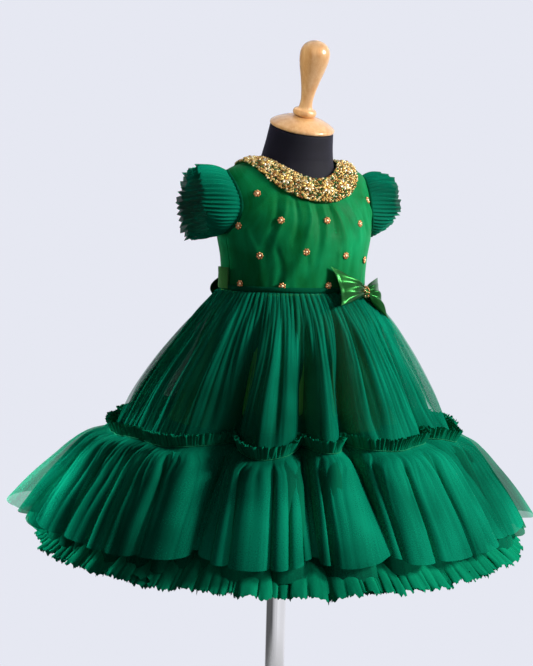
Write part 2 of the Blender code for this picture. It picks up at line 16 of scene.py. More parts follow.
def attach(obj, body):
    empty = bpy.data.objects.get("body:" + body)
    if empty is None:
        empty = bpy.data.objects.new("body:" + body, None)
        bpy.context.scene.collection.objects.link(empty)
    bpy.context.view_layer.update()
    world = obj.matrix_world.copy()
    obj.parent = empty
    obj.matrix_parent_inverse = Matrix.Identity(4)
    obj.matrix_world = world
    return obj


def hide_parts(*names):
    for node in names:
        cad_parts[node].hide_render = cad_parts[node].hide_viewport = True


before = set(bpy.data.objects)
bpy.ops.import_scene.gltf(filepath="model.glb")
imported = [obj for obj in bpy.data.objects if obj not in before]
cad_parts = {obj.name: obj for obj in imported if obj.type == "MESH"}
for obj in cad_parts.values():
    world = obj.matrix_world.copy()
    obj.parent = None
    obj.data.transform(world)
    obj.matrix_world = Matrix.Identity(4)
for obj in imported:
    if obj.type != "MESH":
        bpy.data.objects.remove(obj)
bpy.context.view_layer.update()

TURN = 2 * math.pi

# Driving sizes of the dress
WAIST_Z = 0.660
BODY_Y = -0.022
CLOTH = 0.0012
SEAM_GAP = 0.0003
SKIRT_DROP = 0.178
FLOUNCE_DROP = 0.295
FLOUNCE_HEM_RADIUS = 0.315
HEADING = 0.0135
HEADING_OUT = 0.0045
FLOUNCE_CLEAR = 0.0037
THREAD_OUT = 0.0010
THREAD_RADIUS = 0.0004
THREAD_SUNK = 0.0006
THREAD_SWAY = 0.0002
FRILL_DEPTH = 0.0070
NECK_RADIUS = 0.049
BAND_WIDTH = 0.029
FRONT_SCOOP = 0.0055
BAND_TAPER = 0.0045
ROSETTES = 15
SIDE_SEAM = math.radians(82)
UNDERARM = 0.0725
SHOULDER_TIP = 0.149
STRIP_HEIGHT = 0.0065
BODY_REACH = 0.092

# Bodice panels: share of the top edge at the neck, share of the side below the armhole, turn at the seam
NECK_SHARE = 0.55
SEAM_SHARE = 0.42
SEAM_TURN = 0.004

# Sleeve ruffles
SLEEVE_PLEATS = 48
RUFFLE_LENGTH = 0.045
RUFFLE_OUT = 0.0016
RUFFLE_TRIM = 0.0036
PIPING_RADIUS = 0.0021

# Driving sizes of the dress form
FORM_INSET = 0.0034
FORM_SUNK = 0.0054
FORM_CHEST = 0.112
FORM_BOTTOM = -0.135
NECK_TILT = math.radians(18)
NECK_TOP = 0.2065
NECK_TOP_Y = -0.0125
POLE_RADIUS = 0.013
POLE_EDGE = 0.0006
POLE_LOW = 0.0203
POLE_HIGH = WAIST_Z + FORM_BOTTOM - SEAM_GAP
BASE_RADIUS = 0.145
BASE_EDGE = 0.008
BASE_TOP = 0.020

# Body sections: height above the waist, half width, front depth, back depth
BODY_ROWS = (
    (-0.135, 0.0880, 0.0780, 0.0800),
    (-0.090, 0.1000, 0.0860, 0.0900),
    (-0.045, 0.1010, 0.0840, 0.0840),
    (0.000, 0.0975, 0.0800, 0.0740),
    (0.040, 0.0985, 0.0830, 0.0770),
    (0.0725, 0.1045, 0.0830, 0.0810),
    (0.100, 0.1055, 0.0780, 0.0810),
    (0.125, 0.1040, 0.0655, 0.0740),
    (0.138, 0.1010, 0.0560, 0.0660),
    (0.147, 0.0980, 0.0480, 0.0585),
    (0.153, 0.0920, 0.0405, 0.0510),
    (0.158, 0.0800, 0.0330, 0.0430),
    (0.162, 0.0640, 0.0250, 0.0340),
    (0.165, 0.0480, 0.0190, 0.0270),
    (0.168, 0.0300, 0.0120, 0.0180),
)

# Neck rings of the form: height above the waist, radius, shift forward, share of the tilt
NECK_ROWS = (
    (0.1675, 0.0466, 0.0020, 0.30),
    (0.184, 0.0436, 0.0065, 0.65),
    (NECK_TOP, 0.0408, -NECK_TOP_Y, 1.00),
)

# Upper skirt: drop below the waist, half width, front and back depth, centre y, fold share
SKIRT_ROWS = (
    (0.0003, 0.0998, 0.0823, 0.0763, BODY_Y, 0.00),
    (0.012, 0.1100, 0.0950, 0.0900, -0.0220, 0.02),
    (0.029, 0.1240, 0.1130, 0.1100, -0.0205, 0.08),
    (0.068, 0.1510, 0.1460, 0.1460, -0.0150, 0.36),
    (0.120, 0.1840, 0.1840, 0.1840, -0.0060, 0.86),
    (SKIRT_DROP, 0.2130, 0.2130, 0.2130, 0.0000, 1.00),
)

# Depth of a fold that is fully drawn in
FOLD_FULL = 0.040

# Lobes of the flounce's seam that stand out and hang lower: angle, how far, half width
SEAM_LOBES = (
    (-98, 0.008, 16.0), (-68, 0.006, 10.0), (-33, 0.011, 8.5), (-11, 0.003, 5.0), (12, 0.004, 9.0),
    (52, 0.014, 9.0), (94, 0.009, 10.0), (125, 0.010, 10.0), (151, 0.008, 8.0), (176, 0.009, 9.0),
    (-166, 0.008, 9.0), (-136, 0.010, 9.0),
)

# Deep folds between the lobes: angle from the front towards +X, depth at the seam, half width
FOLDS = (
    (-150, 0.046, 6.0),
    (-122, 0.040, 5.5),
    (-47, 0.054, 6.2),
    (-20, 0.050, 4.8),
    (-2.5, 0.052, 5.2),
    (35, 0.024, 5.0),
    (78, 0.040, 6.0),
    (110, 0.046, 6.0),
    (140, 0.044, 5.5),
    (163, 0.044, 5.5),
)

# Net points that reach further out at the hem: angle, reach, half width in degrees
HEM_POINTS = (
    (-110, 0.042, 9.0),
    (58, 0.022, 8.0),
    (150, 0.018, 9.0),
)

# Flounce from its gathering thread: share downwards, share outwards, fold share, flute depth
FLOUNCE_ROWS = (
    (0.00, 0.00, 1.00, 0.0000),
    (0.03, 0.10, 1.00, 0.0040),
    (0.08, 0.21, 1.08, 0.0100),
    (0.20, 0.36, 1.12, 0.0165),
    (0.40, 0.54, 0.98, 0.0200),
    (0.70, 0.79, 0.76, 0.0215),
    (1.00, 1.00, 0.52, 0.0225),
)

# Valleys between the flutes seen in front, in degrees; the hidden ones are spread as unevenly
FRONT_VALLEYS = (-122, -101, -86, -74, -69, -62, -49.5, -45, -40, -37, -30, -27, -24, -20.5, -18, -15, 1, 3,
                 10, 20, 31, 42, 55, 66)

# Satin lining skirt: drop, half width, front and back depth, centre y
LINING_ROWS = (
    (0.0006, 0.0957, 0.0782, 0.0722, BODY_Y),
    (0.030, 0.1070, 0.0930, 0.0890, -0.0205),
    (0.080, 0.1240, 0.1140, 0.1140, -0.0160),
    (0.125, 0.1380, 0.1310, 0.1310, -0.0110),
    (0.190, 0.1570, 0.1530, 0.1530, -0.0060),
)

# Net underskirt, hung from the lining: drop, radius, centre y
UNDERSKIRT_ROWS = (
    (0.132, 0.1430, -0.0090),
    (0.178, 0.1620, -0.0040),
    (0.232, 0.2180, 0.0000),
    (0.285, 0.2700, 0.0000),
    (0.322, 0.3150, 0.0000),
)

UNDERSKIRT_TOP = 0.168

# Sleeve ruffle rim: degrees from the top towards the front, reach, y, height above the waist
RIM_ROWS = (
    (0, 0.134, -0.012, 0.155),
    (45, 0.142, -0.038, 0.142),
    (90, 0.143, -0.050, 0.111),
    (135, 0.135, -0.041, 0.086),
    (180, 0.120, -0.011, 0.069),
    (225, 0.134, 0.022, 0.064),
    (270, 0.140, 0.037, 0.104),
    (315, 0.138, 0.021, 0.141),
    (360, 0.134, -0.012, 0.155),
)

# Handle profile: distance above the cap, radius
HANDLE_PROFILE = (
    (0.0965, 0.0), (0.0950, 0.0075), (0.0905, 0.0145), (0.0840, 0.0182), (0.0750, 0.0188),
    (0.0630, 0.0168), (0.0460, 0.0124), (0.0300, 0.0090), (0.0170, 0.0079), (0.0105, 0.0095),
    (0.0085, 0.0138), (0.0050, 0.0152), (0.0015, 0.0140), (0.0003, 0.0120), (0.0003, 0.0),
)

CAP_PROFILE = (
    (0.0160, 0.0), (0.0158, 0.0120), (0.0140, 0.0220), (0.0108, 0.0310), (0.0070, 0.0380),
    (0.0040, 0.0415), (0.0015, 0.0415), (0.0003, 0.0395), (0.0003, 0.0),
)

# Base and pole profiles: height, radius
BASE_PROFILE = (
    (BASE_TOP, 0.0), (BASE_TOP, 0.030), (BASE_TOP - 0.0008, 0.034), (BASE_TOP - 0.003, 0.050),
    (BASE_EDGE + 0.003, 0.125), (BASE_EDGE, BASE_RADIUS - 0.003), (BASE_EDGE - 0.001, BASE_RADIUS - 0.0008),
    (BASE_EDGE - 0.003, BASE_RADIUS), (0.001, BASE_RADIUS), (0.0, BASE_RADIUS - 0.001), (0.0, 0.0),
)
POLE_PROFILE = (
    (POLE_HIGH, 0.0), (POLE_HIGH, POLE_RADIUS - POLE_EDGE), (POLE_HIGH - POLE_EDGE, POLE_RADIUS),
    (POLE_LOW + POLE_EDGE, POLE_RADIUS), (POLE_LOW, POLE_RADIUS - POLE_EDGE), (POLE_LOW, 0.0),
)

# Bead motifs: angle round the body, height above the waist
MOTIFS = (
    (-48, 0.1210), (50, 0.1170),
    (-66, 0.0810), (-32, 0.0890), (1, 0.0900), (32, 0.0870),
    (-50, 0.0450), (-15, 0.0510), (18, 0.0470), (46, 0.0410),
    (-68, 0.0090), (-32, 0.0080), (4, 0.0095),
    (116, 0.0870), (148, 0.0870), (-116, 0.0870), (-148, 0.0870),
    (132, 0.0480), (164, 0.0480), (-132, 0.0480), (-164, 0.0480),
)

# Creases of the bodice net: angle and height of each end, lift (troughs are negative), half width
BODICE_CREASES = (
    (-33, 0.114, -46, 0.052, -0.0013, 0.0042),
    (-27, 0.112, -38, 0.066, 0.0010, 0.0036),
    (-20, 0.109, -24, 0.062, -0.0011, 0.0034),
    (-13, 0.080, -30, 0.010, 0.0013, 0.0060),
    (-11, 0.107, -13, 0.070, 0.0009, 0.0032),
    (-6, 0.106, -9, 0.030, -0.0010, 0.0040),
    (-1, 0.106, -1, 0.060, 0.0008, 0.0032),
    (4, 0.106, 7, 0.074, -0.0009, 0.0030),
    (8, 0.107, 17, 0.050, 0.0011, 0.0040),
    (13, 0.108, 26, 0.072, -0.0009, 0.0034),
    (22, 0.110, 34, 0.066, 0.0009, 0.0034),
    (31, 0.113, 44, 0.078, -0.0009, 0.0034),
    (-40, 0.118, -60, 0.094, 0.0012, 0.0036),
    (-45, 0.124, -63, 0.108, -0.0010, 0.0030),
    (42, 0.120, 60, 0.098, 0.0013, 0.0036),
    (48, 0.127, 62, 0.112, -0.0010, 0.0030),
    (-36, 0.050, -34, 0.008, -0.0008, 0.0050),
    (-14, 0.046, -16, 0.008, -0.0007, 0.0044),
    (12, 0.048, 9, 0.008, 0.0008, 0.0044),
    (-58, 0.070, -50, 0.012, 0.0009, 0.0060),
    (26, 0.056, 22, 0.008, -0.0007, 0.0044),
    (140, 0.112, 128, 0.060, 0.0010, 0.0040),
    (152, 0.110, 148, 0.050, -0.0010, 0.0038),
    (164, 0.108, 166, 0.058, 0.0009, 0.0036),
    (-140, 0.112, -128, 0.060, 0.0010, 0.0040),
    (-152, 0.110, -148, 0.050, -0.0010, 0.0038),
    (-164, 0.108, -166, 0.058, 0.0009, 0.0036),
)

# Folded waist strip from its upper edge round its fold: share, height above the waist, standoff
STRIP_PROFILE = (
    (0.00, STRIP_HEIGHT, 0.0011), (0.12, 0.0061, 0.0021), (0.32, 0.0032, 0.0027), (0.48, 0.0009, 0.0020),
    (0.56, 0.0004, 0.0012), (0.66, 0.0012, 0.0006), (1.00, 0.0058, 0.0004),
)

# Bows: place round the waist, height, standoff, lean, turn, wing length, half height, droop
FRONT_BOW = dict(angle=33, height=0.002, out=0.0165, lean=27, turn=12,
                 length=0.049, half=0.0268, droop=0.0, corners=0.16)
BACK_BOW = dict(angle=180, height=0.014, out=0.0120, lean=6, turn=0,
                length=0.081, half=0.0150, droop=0.016, corners=-0.16)

# Wings: piece, its bow and knot, side, share of the bow's length, share of its half height
WINGS = (
    ("front_bow_wing_inner", FRONT_BOW, "front_bow_knot", -1, 1.0, 1.0),
    ("front_bow_wing_outer", FRONT_BOW, "front_bow_knot", 1, 0.80, 1.14),
    ("back_bow_loop_right", BACK_BOW, "back_bow_knot", 1, 1.0, 1.0),
    ("back_bow_loop_left", BACK_BOW, "back_bow_knot", -1, 1.0, 1.0),
)
WING_START = 0.0064

# Knots: half width, half height, depth in front, height of what they are sewn to, pleats
FRONT_KNOT = (0.0062, 0.0095, 0.0046, 0.0026, 3)
FRONT_KNOT_BEADS = (0.0058, 0.0092, 0.0048, 0.0026, 3)
BACK_KNOT = (0.0071, 0.0120, 0.0060, 0.0005, 4)

# Sash ends: drop below the waist, place and half width in degrees round the skirt
TAIL_ROWS = (
    (-0.0027, 3.2, 2.6), (0.008, 5.8, 4.4), (0.020, 7.5, 5.8), (0.040, 8.5, 6.5),
    (0.065, 8.7, 6.5), (0.090, 8.8, 6.3), (0.115, 8.8, 6.0),
)
TAIL_CLEAR = 0.0100
TAIL_SLANT = 0.008
SASH_END = math.radians(177.3)

# The photo's camera: place round the dress, distance, height, lens and how it turns
PHOTO_AZIMUTH = math.radians(-28)
PHOTO_DISTANCE = 1.8
PHOTO_HEIGHT = 0.76
PHOTO_LENS = 74.27
PHOTO_TURNS = ((PHOTO_AZIMUTH + math.radians(0.71), "Z"), (math.radians(90 - 5.07), "X"),
               (math.radians(1.5), "Z"))

# Lights: name, place from the camera's side, size, watts, colour, aim, spread, whether it is mirrored
LIGHTS = (
    ("key", (2.25, 0.70, 1.65), 0.6, 76.0, (1.0, 0.99, 0.97), (0, 0, 0.6), 180, True),
    ("fill", (-0.6, 2.4, 1.2), 1.6, 0.4, (0.95, 0.97, 1.0), (0, 0, 0.6), 180, True),
    ("left_edge", (-1.9, -1.5, 0.9), 0.3, 1.7, (0.97, 0.99, 1.0), (-0.29, 0.09, 0.44), 18, False),
    ("left_tip", (-1.7, 0.7, 0.20), 0.1, 0.06, (0.97, 0.99, 1.0), (-0.320, 0.09, 0.39), 5, False),
    ("handle_fill", (-0.9, 1.1, 1.45), 0.3, 0.20, (1.0, 0.99, 0.97), (0, -0.02, 0.94), 12, False),
    ("right_edge", (1.5, -1.4, 1.5), 0.8, 14.0, (1.0, 1.0, 1.0), (0, 0, 0.6), 180, False),
)
BACKDROP = "e6e8f2"
FLOOR_RADIUS = 30

# What polished surfaces mirror: place from the camera's left to its right, brightness
REFLECTIONS = (
    (0.00, 0.12), (0.14, 0.10), (0.28, 0.60), (0.40, 0.74), (0.50, 0.95), (0.58, 0.82), (0.70, 1.15),
    (1.00, 1.00),
)


# Camera and lights

def from_camera(side, near, height):
    """A place to the camera's right, towards the camera and up, from the pole's foot."""
    right = Vector((math.cos(PHOTO_AZIMUTH), math.sin(PHOTO_AZIMUTH), 0))
    back = Vector((math.sin(PHOTO_AZIMUTH), -math.cos(PHOTO_AZIMUTH), 0))
    return right * side + back * near + Vector((0, 0, height))


def add_object(name, data):
    made = bpy.data.objects.new(name, data)
    bpy.context.scene.collection.objects.link(made)
    return made


def make_camera():
    camera = add_object("photo_camera", bpy.data.cameras.new("photo_camera"))
    camera.data.lens = PHOTO_LENS
    camera.data.sensor_width = 36
    matrix = Matrix.Translation(from_camera(0, PHOTO_DISTANCE, PHOTO_HEIGHT))
    for angle, axis in PHOTO_TURNS:
        matrix = matrix @ Matrix.Rotation(angle, 4, axis)
    camera.matrix_world = matrix
    bpy.context.scene.camera = camera


def add_light(name, place, size, power, colour, aim, spread, mirrored):
    """A soft square light, placed as the camera sees it."""
    light = bpy.data.lights.new(name, "AREA")
    light.shape = "SQUARE"
    light.size = size
    light.energy = power
    light.color = colour
    light.spread = math.radians(spread)
    item = add_object(name, light)
    item.visible_glossy = mirrored
    item.location = from_camera(*place)
    item.rotation_euler = (Vector(aim) - item.location).to_track_quat("-Z", "Y").to_euler()


# Nodes

def linear(code):
    """A colour from its sRGB hex code."""
    parts = [int(code[i:i + 2], 16) / 255 for i in (0, 2, 4)]
    return tuple(c / 12.92 if c <= 0.04045 else ((c + 0.055) / 1.055) ** 2.4 for c in parts) + (1.0,)


def fill_inputs(tree, node, values):
    """Gives a node's inputs their values, or links them to sockets."""
    for key, value in values.items():
        if isinstance(value, bpy.types.NodeSocket):
            tree.links.new(value, node.inputs[key])
        else:
            node.inputs[key].default_value = value


def add_node(tree, kind, values=None, **settings):
    """Adds a node; settings are its own properties and values go to its inputs."""
    made = tree.nodes.new(kind)
    for key, value in settings.items():
        setattr(made, key, value)
    fill_inputs(tree, made, values or {})
    return made


def new_material(name):
    """(material, its tree, its shader) with nothing else in it."""
    made = bpy.data.materials.new(name)
    made.use_nodes = True
    return made, made.node_tree, made.node_tree.nodes["Principled BSDF"]


def coordinates(tree):
    """A piece's own coordinates: flat on the cloth, and in space."""
    made = add_node(tree, "ShaderNodeTexCoord")
    return made.outputs["UV"], made.outputs["Object"]


def noise(tree, vector, scale, detail, distortion=0.0):
    return add_node(tree, "ShaderNodeTexNoise", {"Vector": vector, "Scale": scale, "Detail": detail,
                                                 "Distortion": distortion}).outputs["Fac"]


def scaled(tree, vector, scale, turn=(0, 0, 0)):
    return add_node(tree, "ShaderNodeMapping",
                    {"Vector": vector, "Scale": scale, "Rotation": turn}).outputs["Vector"]


def mixed(tree, share, low, high):
    return add_node(tree, "ShaderNodeMix", {0: share, 2: low, 3: high}).outputs[0]


def stretch(tree, socket, low, high, to_low=0.0, to_high=1.0, kind="LINEAR"):
    values = {"Value": socket, "From Min": low, "From Max": high, "To Min": to_low, "To Max": to_high}
    return add_node(tree, "ShaderNodeMapRange", values, interpolation_type=kind).outputs["Result"]


def set_stops(ramp, stops):
    """Gives a ramp its (place, colour) stops, the first and last on the two that it has."""
    for place, _ in stops[1:-1]:
        ramp.elements.new(place)
    for element, (place, colour) in zip(ramp.elements, stops):
        element.position = place
        element.color = colour


def blend_colours(tree, share, low, high):
    """A ramp between sRGB codes, driven by a socket from 0 to 1."""
    ramp = add_node(tree, "ShaderNodeValToRGB", {"Fac": share})
    ramp.color_ramp.elements[0].color = linear(low)
    ramp.color_ramp.elements[1].color = linear(high)
    return ramp.outputs["Color"]


def relief(tree, height, depth_mm, strength):
    return add_node(tree, "ShaderNodeBump", {"Height": height, "Distance": depth_mm / 1000,
                                             "Strength": strength}).outputs["Normal"]


def thread_relief(tree, flat, mesh_mm, strength):
    """Relief of a fine knitted net; its holes are drawn coarse enough to show."""
    cells = add_node(tree, "ShaderNodeTexVoronoi", {"Vector": flat, "Scale": 1000 / mesh_mm},
                     feature="DISTANCE_TO_EDGE")
    return relief(tree, cells.outputs["Distance"], 0.2, strength)


# Materials

def net_material(name, dark, light, alpha, density_and_fold_shade=0.35):
    """Nylon tulle: fine knitted hexagon net, matt, with random streaks along its length, partly uneven
    thread density and partly painted light and shade of fine folds.
    """
    made, tree, shader = new_material(name)
    flat, place = coordinates(tree)
    # Stretched streaks along the cloth, then mixed with broad random blotches: the streaks are partly the
    # net's uneven thread density, partly painted light and shade of fine fold lines.
    lines = noise(tree, scaled(tree, flat, (300, 9, 1)), 1.0, 3.0)
    gathers = mixed(tree, density_and_fold_shade, noise(tree, place, 9.0, 2.0), lines)
    tone = mixed(tree, 0.22, gathers, noise(tree, flat, 900.0, 1.0))
    fill_inputs(tree, shader, {
        "Base Color": blend_colours(tree, stretch(tree, tone, 0.36, 0.64), dark, light),
        "Normal": thread_relief(tree, flat, 1.4, 0.15), "Alpha": alpha,
        "Roughness": 0.75, "Specular IOR Level": 0.02,
        "Sheen Weight": 0.06, "Sheen Roughness": 0.4, "Sheen Tint": linear("2fb488")})
    return made


def satin_material(name, dark, light, roughness, metallic):
    """Polyester satin: long floats give broad, coloured highlights along the folds."""
    made, tree, shader = new_material(name)
    flat, place = coordinates(tree)
    floats = noise(tree, scaled(tree, flat, (1800, 60, 1)), 1.0, 2.0)
    tone = mixed(tree, 0.3, noise(tree, place, 14.0, 2.0), floats)
    fill_inputs(tree, shader, {
        "Base Color": blend_colours(tree, stretch(tree, tone, 0.38, 0.62), dark, light),
        "Normal": relief(tree, floats, 0.1, 0.25), "Roughness": roughness, "Metallic": metallic})
    return made


def net_over_satin_material():
    """Fine net lying on green satin: matt relief of the net and a soft satin glow through it."""
    made, tree, shader = new_material("net over satin")
    flat, place = coordinates(tree)
    lines = noise(tree, scaled(tree, flat, (90, 14, 1)), 1.0, 3.0)
    creases = mixed(tree, 0.35, noise(tree, place, 16.0, 3.0, 0.6), lines)
    tone = mixed(tree, 0.15, creases, noise(tree, flat, 800.0, 1.0))
    fill_inputs(tree, shader, {
        "Base Color": blend_colours(tree, stretch(tree, tone, 0.34, 0.66), "066428", "0f9c5e"),
        "Normal": thread_relief(tree, flat, 1.2, 0.3), "Roughness": 0.5, "Specular IOR Level": 0.05,
        "Sheen Weight": 0.06, "Sheen Tint": linear("2fc484")})
    return made


def bead_material(name, colours, metallic, roughness):
    """Metal-coated glass beads; each bead takes its own colour from its tone."""
    made, tree, shader = new_material(name)
    tone = add_node(tree, "ShaderNodeAttribute", attribute_name="tone")
    bands = add_node(tree, "ShaderNodeValToRGB", {"Fac": tone.outputs["Fac"]})
    bands.color_ramp.interpolation = "CONSTANT"
    set_stops(bands.color_ramp, [(k / len(colours), linear(code)) for k, code in enumerate(colours)])
    fill_inputs(tree, shader, {"Base Color": bands.outputs["Color"], "Metallic": metallic,
                               "Roughness": roughness})
    return made


def jersey_material():
    """Black cotton jersey stretched on the form: matt, with fine knitted ribs."""
    made, tree, shader = new_material("black jersey")
    flat, place = coordinates(tree)
    ribs = add_node(tree, "ShaderNodeTexWave", {"Vector": flat, "Scale": 260.0, "Distortion": 0.8},
                    bands_direction="X")
    tone = stretch(tree, noise(tree, place, 40.0, 3.0), 0.35, 0.65)
    fill_inputs(tree, shader, {
        "Base Color": blend_colours(tree, tone, "0c0c12", "14131c"),
        "Normal": relief(tree, ribs.outputs["Fac"], 0.2, 0.3), "Roughness": 0.7, "Specular IOR Level": 0.2,
        "Sheen Weight": 0.24, "Sheen Roughness": 0.5, "Sheen Tint": linear("9a97c0")})
    return made


def wood_material():
    """Turned beech under clear gloss varnish: fine straight grain along the handle."""
    made, tree, shader = new_material("varnished beech")
    along = scaled(tree, coordinates(tree)[1], (1, 1, 0.12), (NECK_TILT, 0, 0))
    grain = mixed(tree, 0.3, noise(tree, along, 160.0, 5.0), noise(tree, along, 900.0, 2.0))
    fill_inputs(tree, shader, {
        "Base Color": blend_colours(tree, stretch(tree, grain, 0.32, 0.68), "dc9c56", "f2c488"),
        "Roughness": 0.34, "Coat Weight": 0.9, "Coat Roughness": 0.06})
    return made


def metal_material(name, low, high, roughness, scale):
    """Plated or brushed steel: faint smears in the polish."""
    made, tree, shader = new_material(name)
    smear = noise(tree, scaled(tree, coordinates(tree)[1], scale), 1.0, 4.0)
    fill_inputs(tree, shader, {
        "Base Color": blend_colours(tree, smear, low, high), "Metallic": 1.0,
        "Roughness": stretch(tree, smear, 0.0, 1.0, roughness, roughness * 1.8)})
    return made


MATERIALS = {
    "outer net": net_material("sheer green tulle", "006248", "0ab48c", 0.42),
    # The upper skirt's under layer: the same tulle in darker colours, painted shade so the panels look
    # deep.
    "inner net darkened as shade": net_material("gathered green tulle darkened as shade", "00402e", "057e5c", 0.81),
    "flounce net": net_material("flounce tulle", "005840", "08a880", 0.68, 0.22),
    # The flounce's second layer: the same tulle in darker colours, painted shade of the layer beneath the
    # outer one.
    "second net darkened as shade": net_material("second flounce tulle darkened as shade", "003c2c", "05805c", 0.92, 0.22),
    "heading net": net_material("gathered heading tulle", "00523c", "06966c", 1.0, 0.6),
    "frill net": net_material("raw edged tulle", "00684a", "089c70", 1.0, 0.45),
    "sleeve net": net_material("pleated tulle", "005c45", "089874", 0.95, 0.25),
    "bodice": net_over_satin_material(),
    # The same tulle in darker colours, painted shade for the dark line at the waist seam; the armhole
    # piping takes it too.
    "waist net darkened as shade": net_material("waist net darkened as shade", "00402a", "046a48", 1.0, 0.3),
    "thread": net_material("gathering thread", "1f8058", "3aa878", 1.0, 0.3),
    "band cloth": net_material("dark band net", "10351c", "3a5a2c", 1.0, 0.3),
    "lining": satin_material("olive lining satin", "36ac20", "6cdc3c", 0.45, 0.0),
    "sash satin": satin_material("olive sash satin", "1c5c20", "35742c", 0.65, 0.0),
    "bow satin": satin_material("bottle green satin", "083c12", "1a6a26", 0.32, 0.75),
    "jersey": jersey_material(),
    "wood": wood_material(),
    "chrome": metal_material("polished chrome plate", "e2e0de", "fffdf8", 0.07, (60, 60, 6)),
    "base steel": metal_material("brushed steel", "8d8e92", "b4b5b8", 0.28, (300, 300, 4)),
    "band beads": bead_material("gold beads and sequins", ("efd696", "c99a4c", "f7e8c0", "a8743a", "e2c078",
                                                          "8a5a30", "dcb768", "3f6f3c"), 0.80, 0.30),
    "pearl gold": bead_material("pale gold beads", ("f0dca0", "e2c070", "fbefc8", "c99a50"), 0.75, 0.25),
    "rose gold": bead_material("rose gold beads", ("d49a68", "b07444", "f4d2a4", "6c4626"), 0.80, 0.30),
}


# Sections of the body

def full_turn(count):
    """Even angles once round, in radians."""
    return np.linspace(0, TURN, count, endpoint=False)


def unit(vectors):
    return vectors / np.linalg.norm(vectors, axis=-1, keepdims=True)


def rows_at(table, x):
    """Cubic interpolation of a table's columns at x, its first column."""
    table = np.asarray(table, float)
    keys = table[:, 0]
    slopes = np.gradient(table[:, 1:], keys, axis=0)
    x = np.clip(np.asarray(x, float), keys[0], keys[-1])
    i = np.clip(np.searchsorted(keys, x) - 1, 0, len(keys) - 2)
    span = (keys[i + 1] - keys[i])[..., None]
    t = (x - keys[i])[..., None] / span
    near = table[i, 1:] * (1 + 2 * t) * (1 - t) ** 2 + slopes[i] * span * t * (1 - t) ** 2
    far = table[i + 1, 1:] * t * t * (3 - 2 * t) + slopes[i + 1] * span * t * t * (t - 1)
    return near + far


def ring_points(radius, angle, height, centre=0.0):
    """Points round an upright axis; angle 0 is the front and a quarter turn is +X."""
    x = radius * np.sin(angle)
    y = centre - radius * np.cos(angle)
    return np.stack(np.broadcast_arrays(x, y, height), -1)


def section_points(sizes, centre, angle, height, out):
    """Points of level sections: sizes are half width, front and back depth in the last axis."""
    depth = np.where(np.cos(angle) > 0, sizes[..., 1], sizes[..., 2])
    x = (sizes[..., 0] + out) * np.sin(angle)
    y = centre - (depth + out) * np.cos(angle)
    return np.stack(np.broadcast_arrays(x, y, height), -1)


def hanging_points(rows, drop, angle, height, out):
    """Points of a skirt's level sections, out from its table's own."""
    sizes = rows_at(rows, drop)
    return section_points(sizes[..., :3], sizes[..., 3], angle, height, out)


def body_points(angle, height, out=0.0):
    """Points on the clothed body; angle 0 is the front and a quarter turn is +X."""
    angle, height, out = np.broadcast_arrays(angle, height, out)
    return section_points(rows_at(BODY_ROWS, height), BODY_Y, angle, WAIST_Z + height, out)


def body_depth(sizes, y):
    return np.where(y < BODY_Y, sizes[..., 1], sizes[..., 2])


def shoulder_height(x, y):
    """Height above the waist where the body's upper surface passes over (x, y)."""
    low = np.full(np.shape(x), 0.06)
    high = np.full(np.shape(x), 0.175)
    for _ in range(32):
        middle = (low + high) / 2
        sizes = rows_at(BODY_ROWS, middle)
        inside = (x / sizes[..., 0]) ** 2 + ((y - BODY_Y) / body_depth(sizes, y)) ** 2 < 1
        low = np.where(inside, middle, low)
        high = np.where(inside, high, middle)
    return low


def around_neck(turn, share):
    """Points on the body round the neck; share 0 is the neckline and 1 the band's outer edge."""
    turn, share = np.broadcast_arrays(turn, share)
    front = np.maximum(np.cos(turn), 0.0) ** 2
    reach = NECK_RADIUS + BAND_WIDTH * share
    reach = reach + FRONT_SCOOP * front * (1 - share) - BAND_TAPER * front * share
    x = reach * np.sin(turn)
    y = BODY_Y - reach * np.cos(turn)
    return np.stack((x, y, WAIST_Z + shoulder_height(x, y)), -1)


def neck_edge(turn):
    """Angle and height of points of the neckline, turn 0 at the front."""
    x, y, z = np.moveaxis(around_neck(turn, 0.03), -1, 0)
    sizes = rows_at(BODY_ROWS, z - WAIST_Z)
    return np.arctan2(x / sizes[..., 0], (BODY_Y - y) / body_depth(sizes, y)), z - WAIST_Z


def armhole_edge(share, back):
    """Angle and height on the armhole, share 0 at the underarm and 1 at the shoulder tip."""
    height = UNDERARM + (SHOULDER_TIP - UNDERARM) * (1 - np.cos(math.pi * share)) / 2
    seam = math.pi - SIDE_SEAM if back else SIDE_SEAM
    reach = math.radians(30 if back else 24)
    angle = seam + (math.pi / 2 - seam) * share - reach * np.sin(math.pi * share) ** 1.4
    return (math.pi - angle if back else angle), height


def armhole_ring(turn):
    """Angle and height once round the armhole, from the shoulder tip down the front; turn runs to 2."""
    front = armhole_edge(np.clip(1 - turn, 0, 1), False)
    rear = armhole_edge(np.clip(turn - 1, 0, 1), True)
    return (np.where(turn < 1, a, b) for a, b in zip(front, rear))


# Folds and gathers

def ease(x, low, high):
    """0 below low, 1 above high, smooth between."""
    t = np.clip((x - low) / (high - low), 0.0, 1.0)
    return t * t * (3 - 2 * t)


def degrees_from(angle, place):
    return (np.degrees(angle) - place + 180) % 360 - 180


def bumps(angle, table):
    """Sum of soft bumps round a ring: place in degrees, size, half width in degrees."""
    total = np.zeros(np.shape(angle))
    for place, size, width in table:
        total += size * np.exp(-(degrees_from(angle, place) / width) ** 2)
    return total


def drawn_in(angle, table, share):
    """Turn in radians that draws the flanks of the folds towards each other."""
    total = np.zeros(np.shape(angle))
    for place, _, width in table:
        off = degrees_from(angle, place)
        total -= np.radians(off) * share * np.exp(-(off / (1.5 * width)) ** 2)
    return total


def even_edges(count, uneven, seed):
    """Unequal steps round a full turn, in radians."""
    widths = np.random.default_rng(seed).uniform(1 - uneven, 1 + uneven, count)
    return np.concatenate(([0.0], np.cumsum(widths))) / widths.sum() * TURN


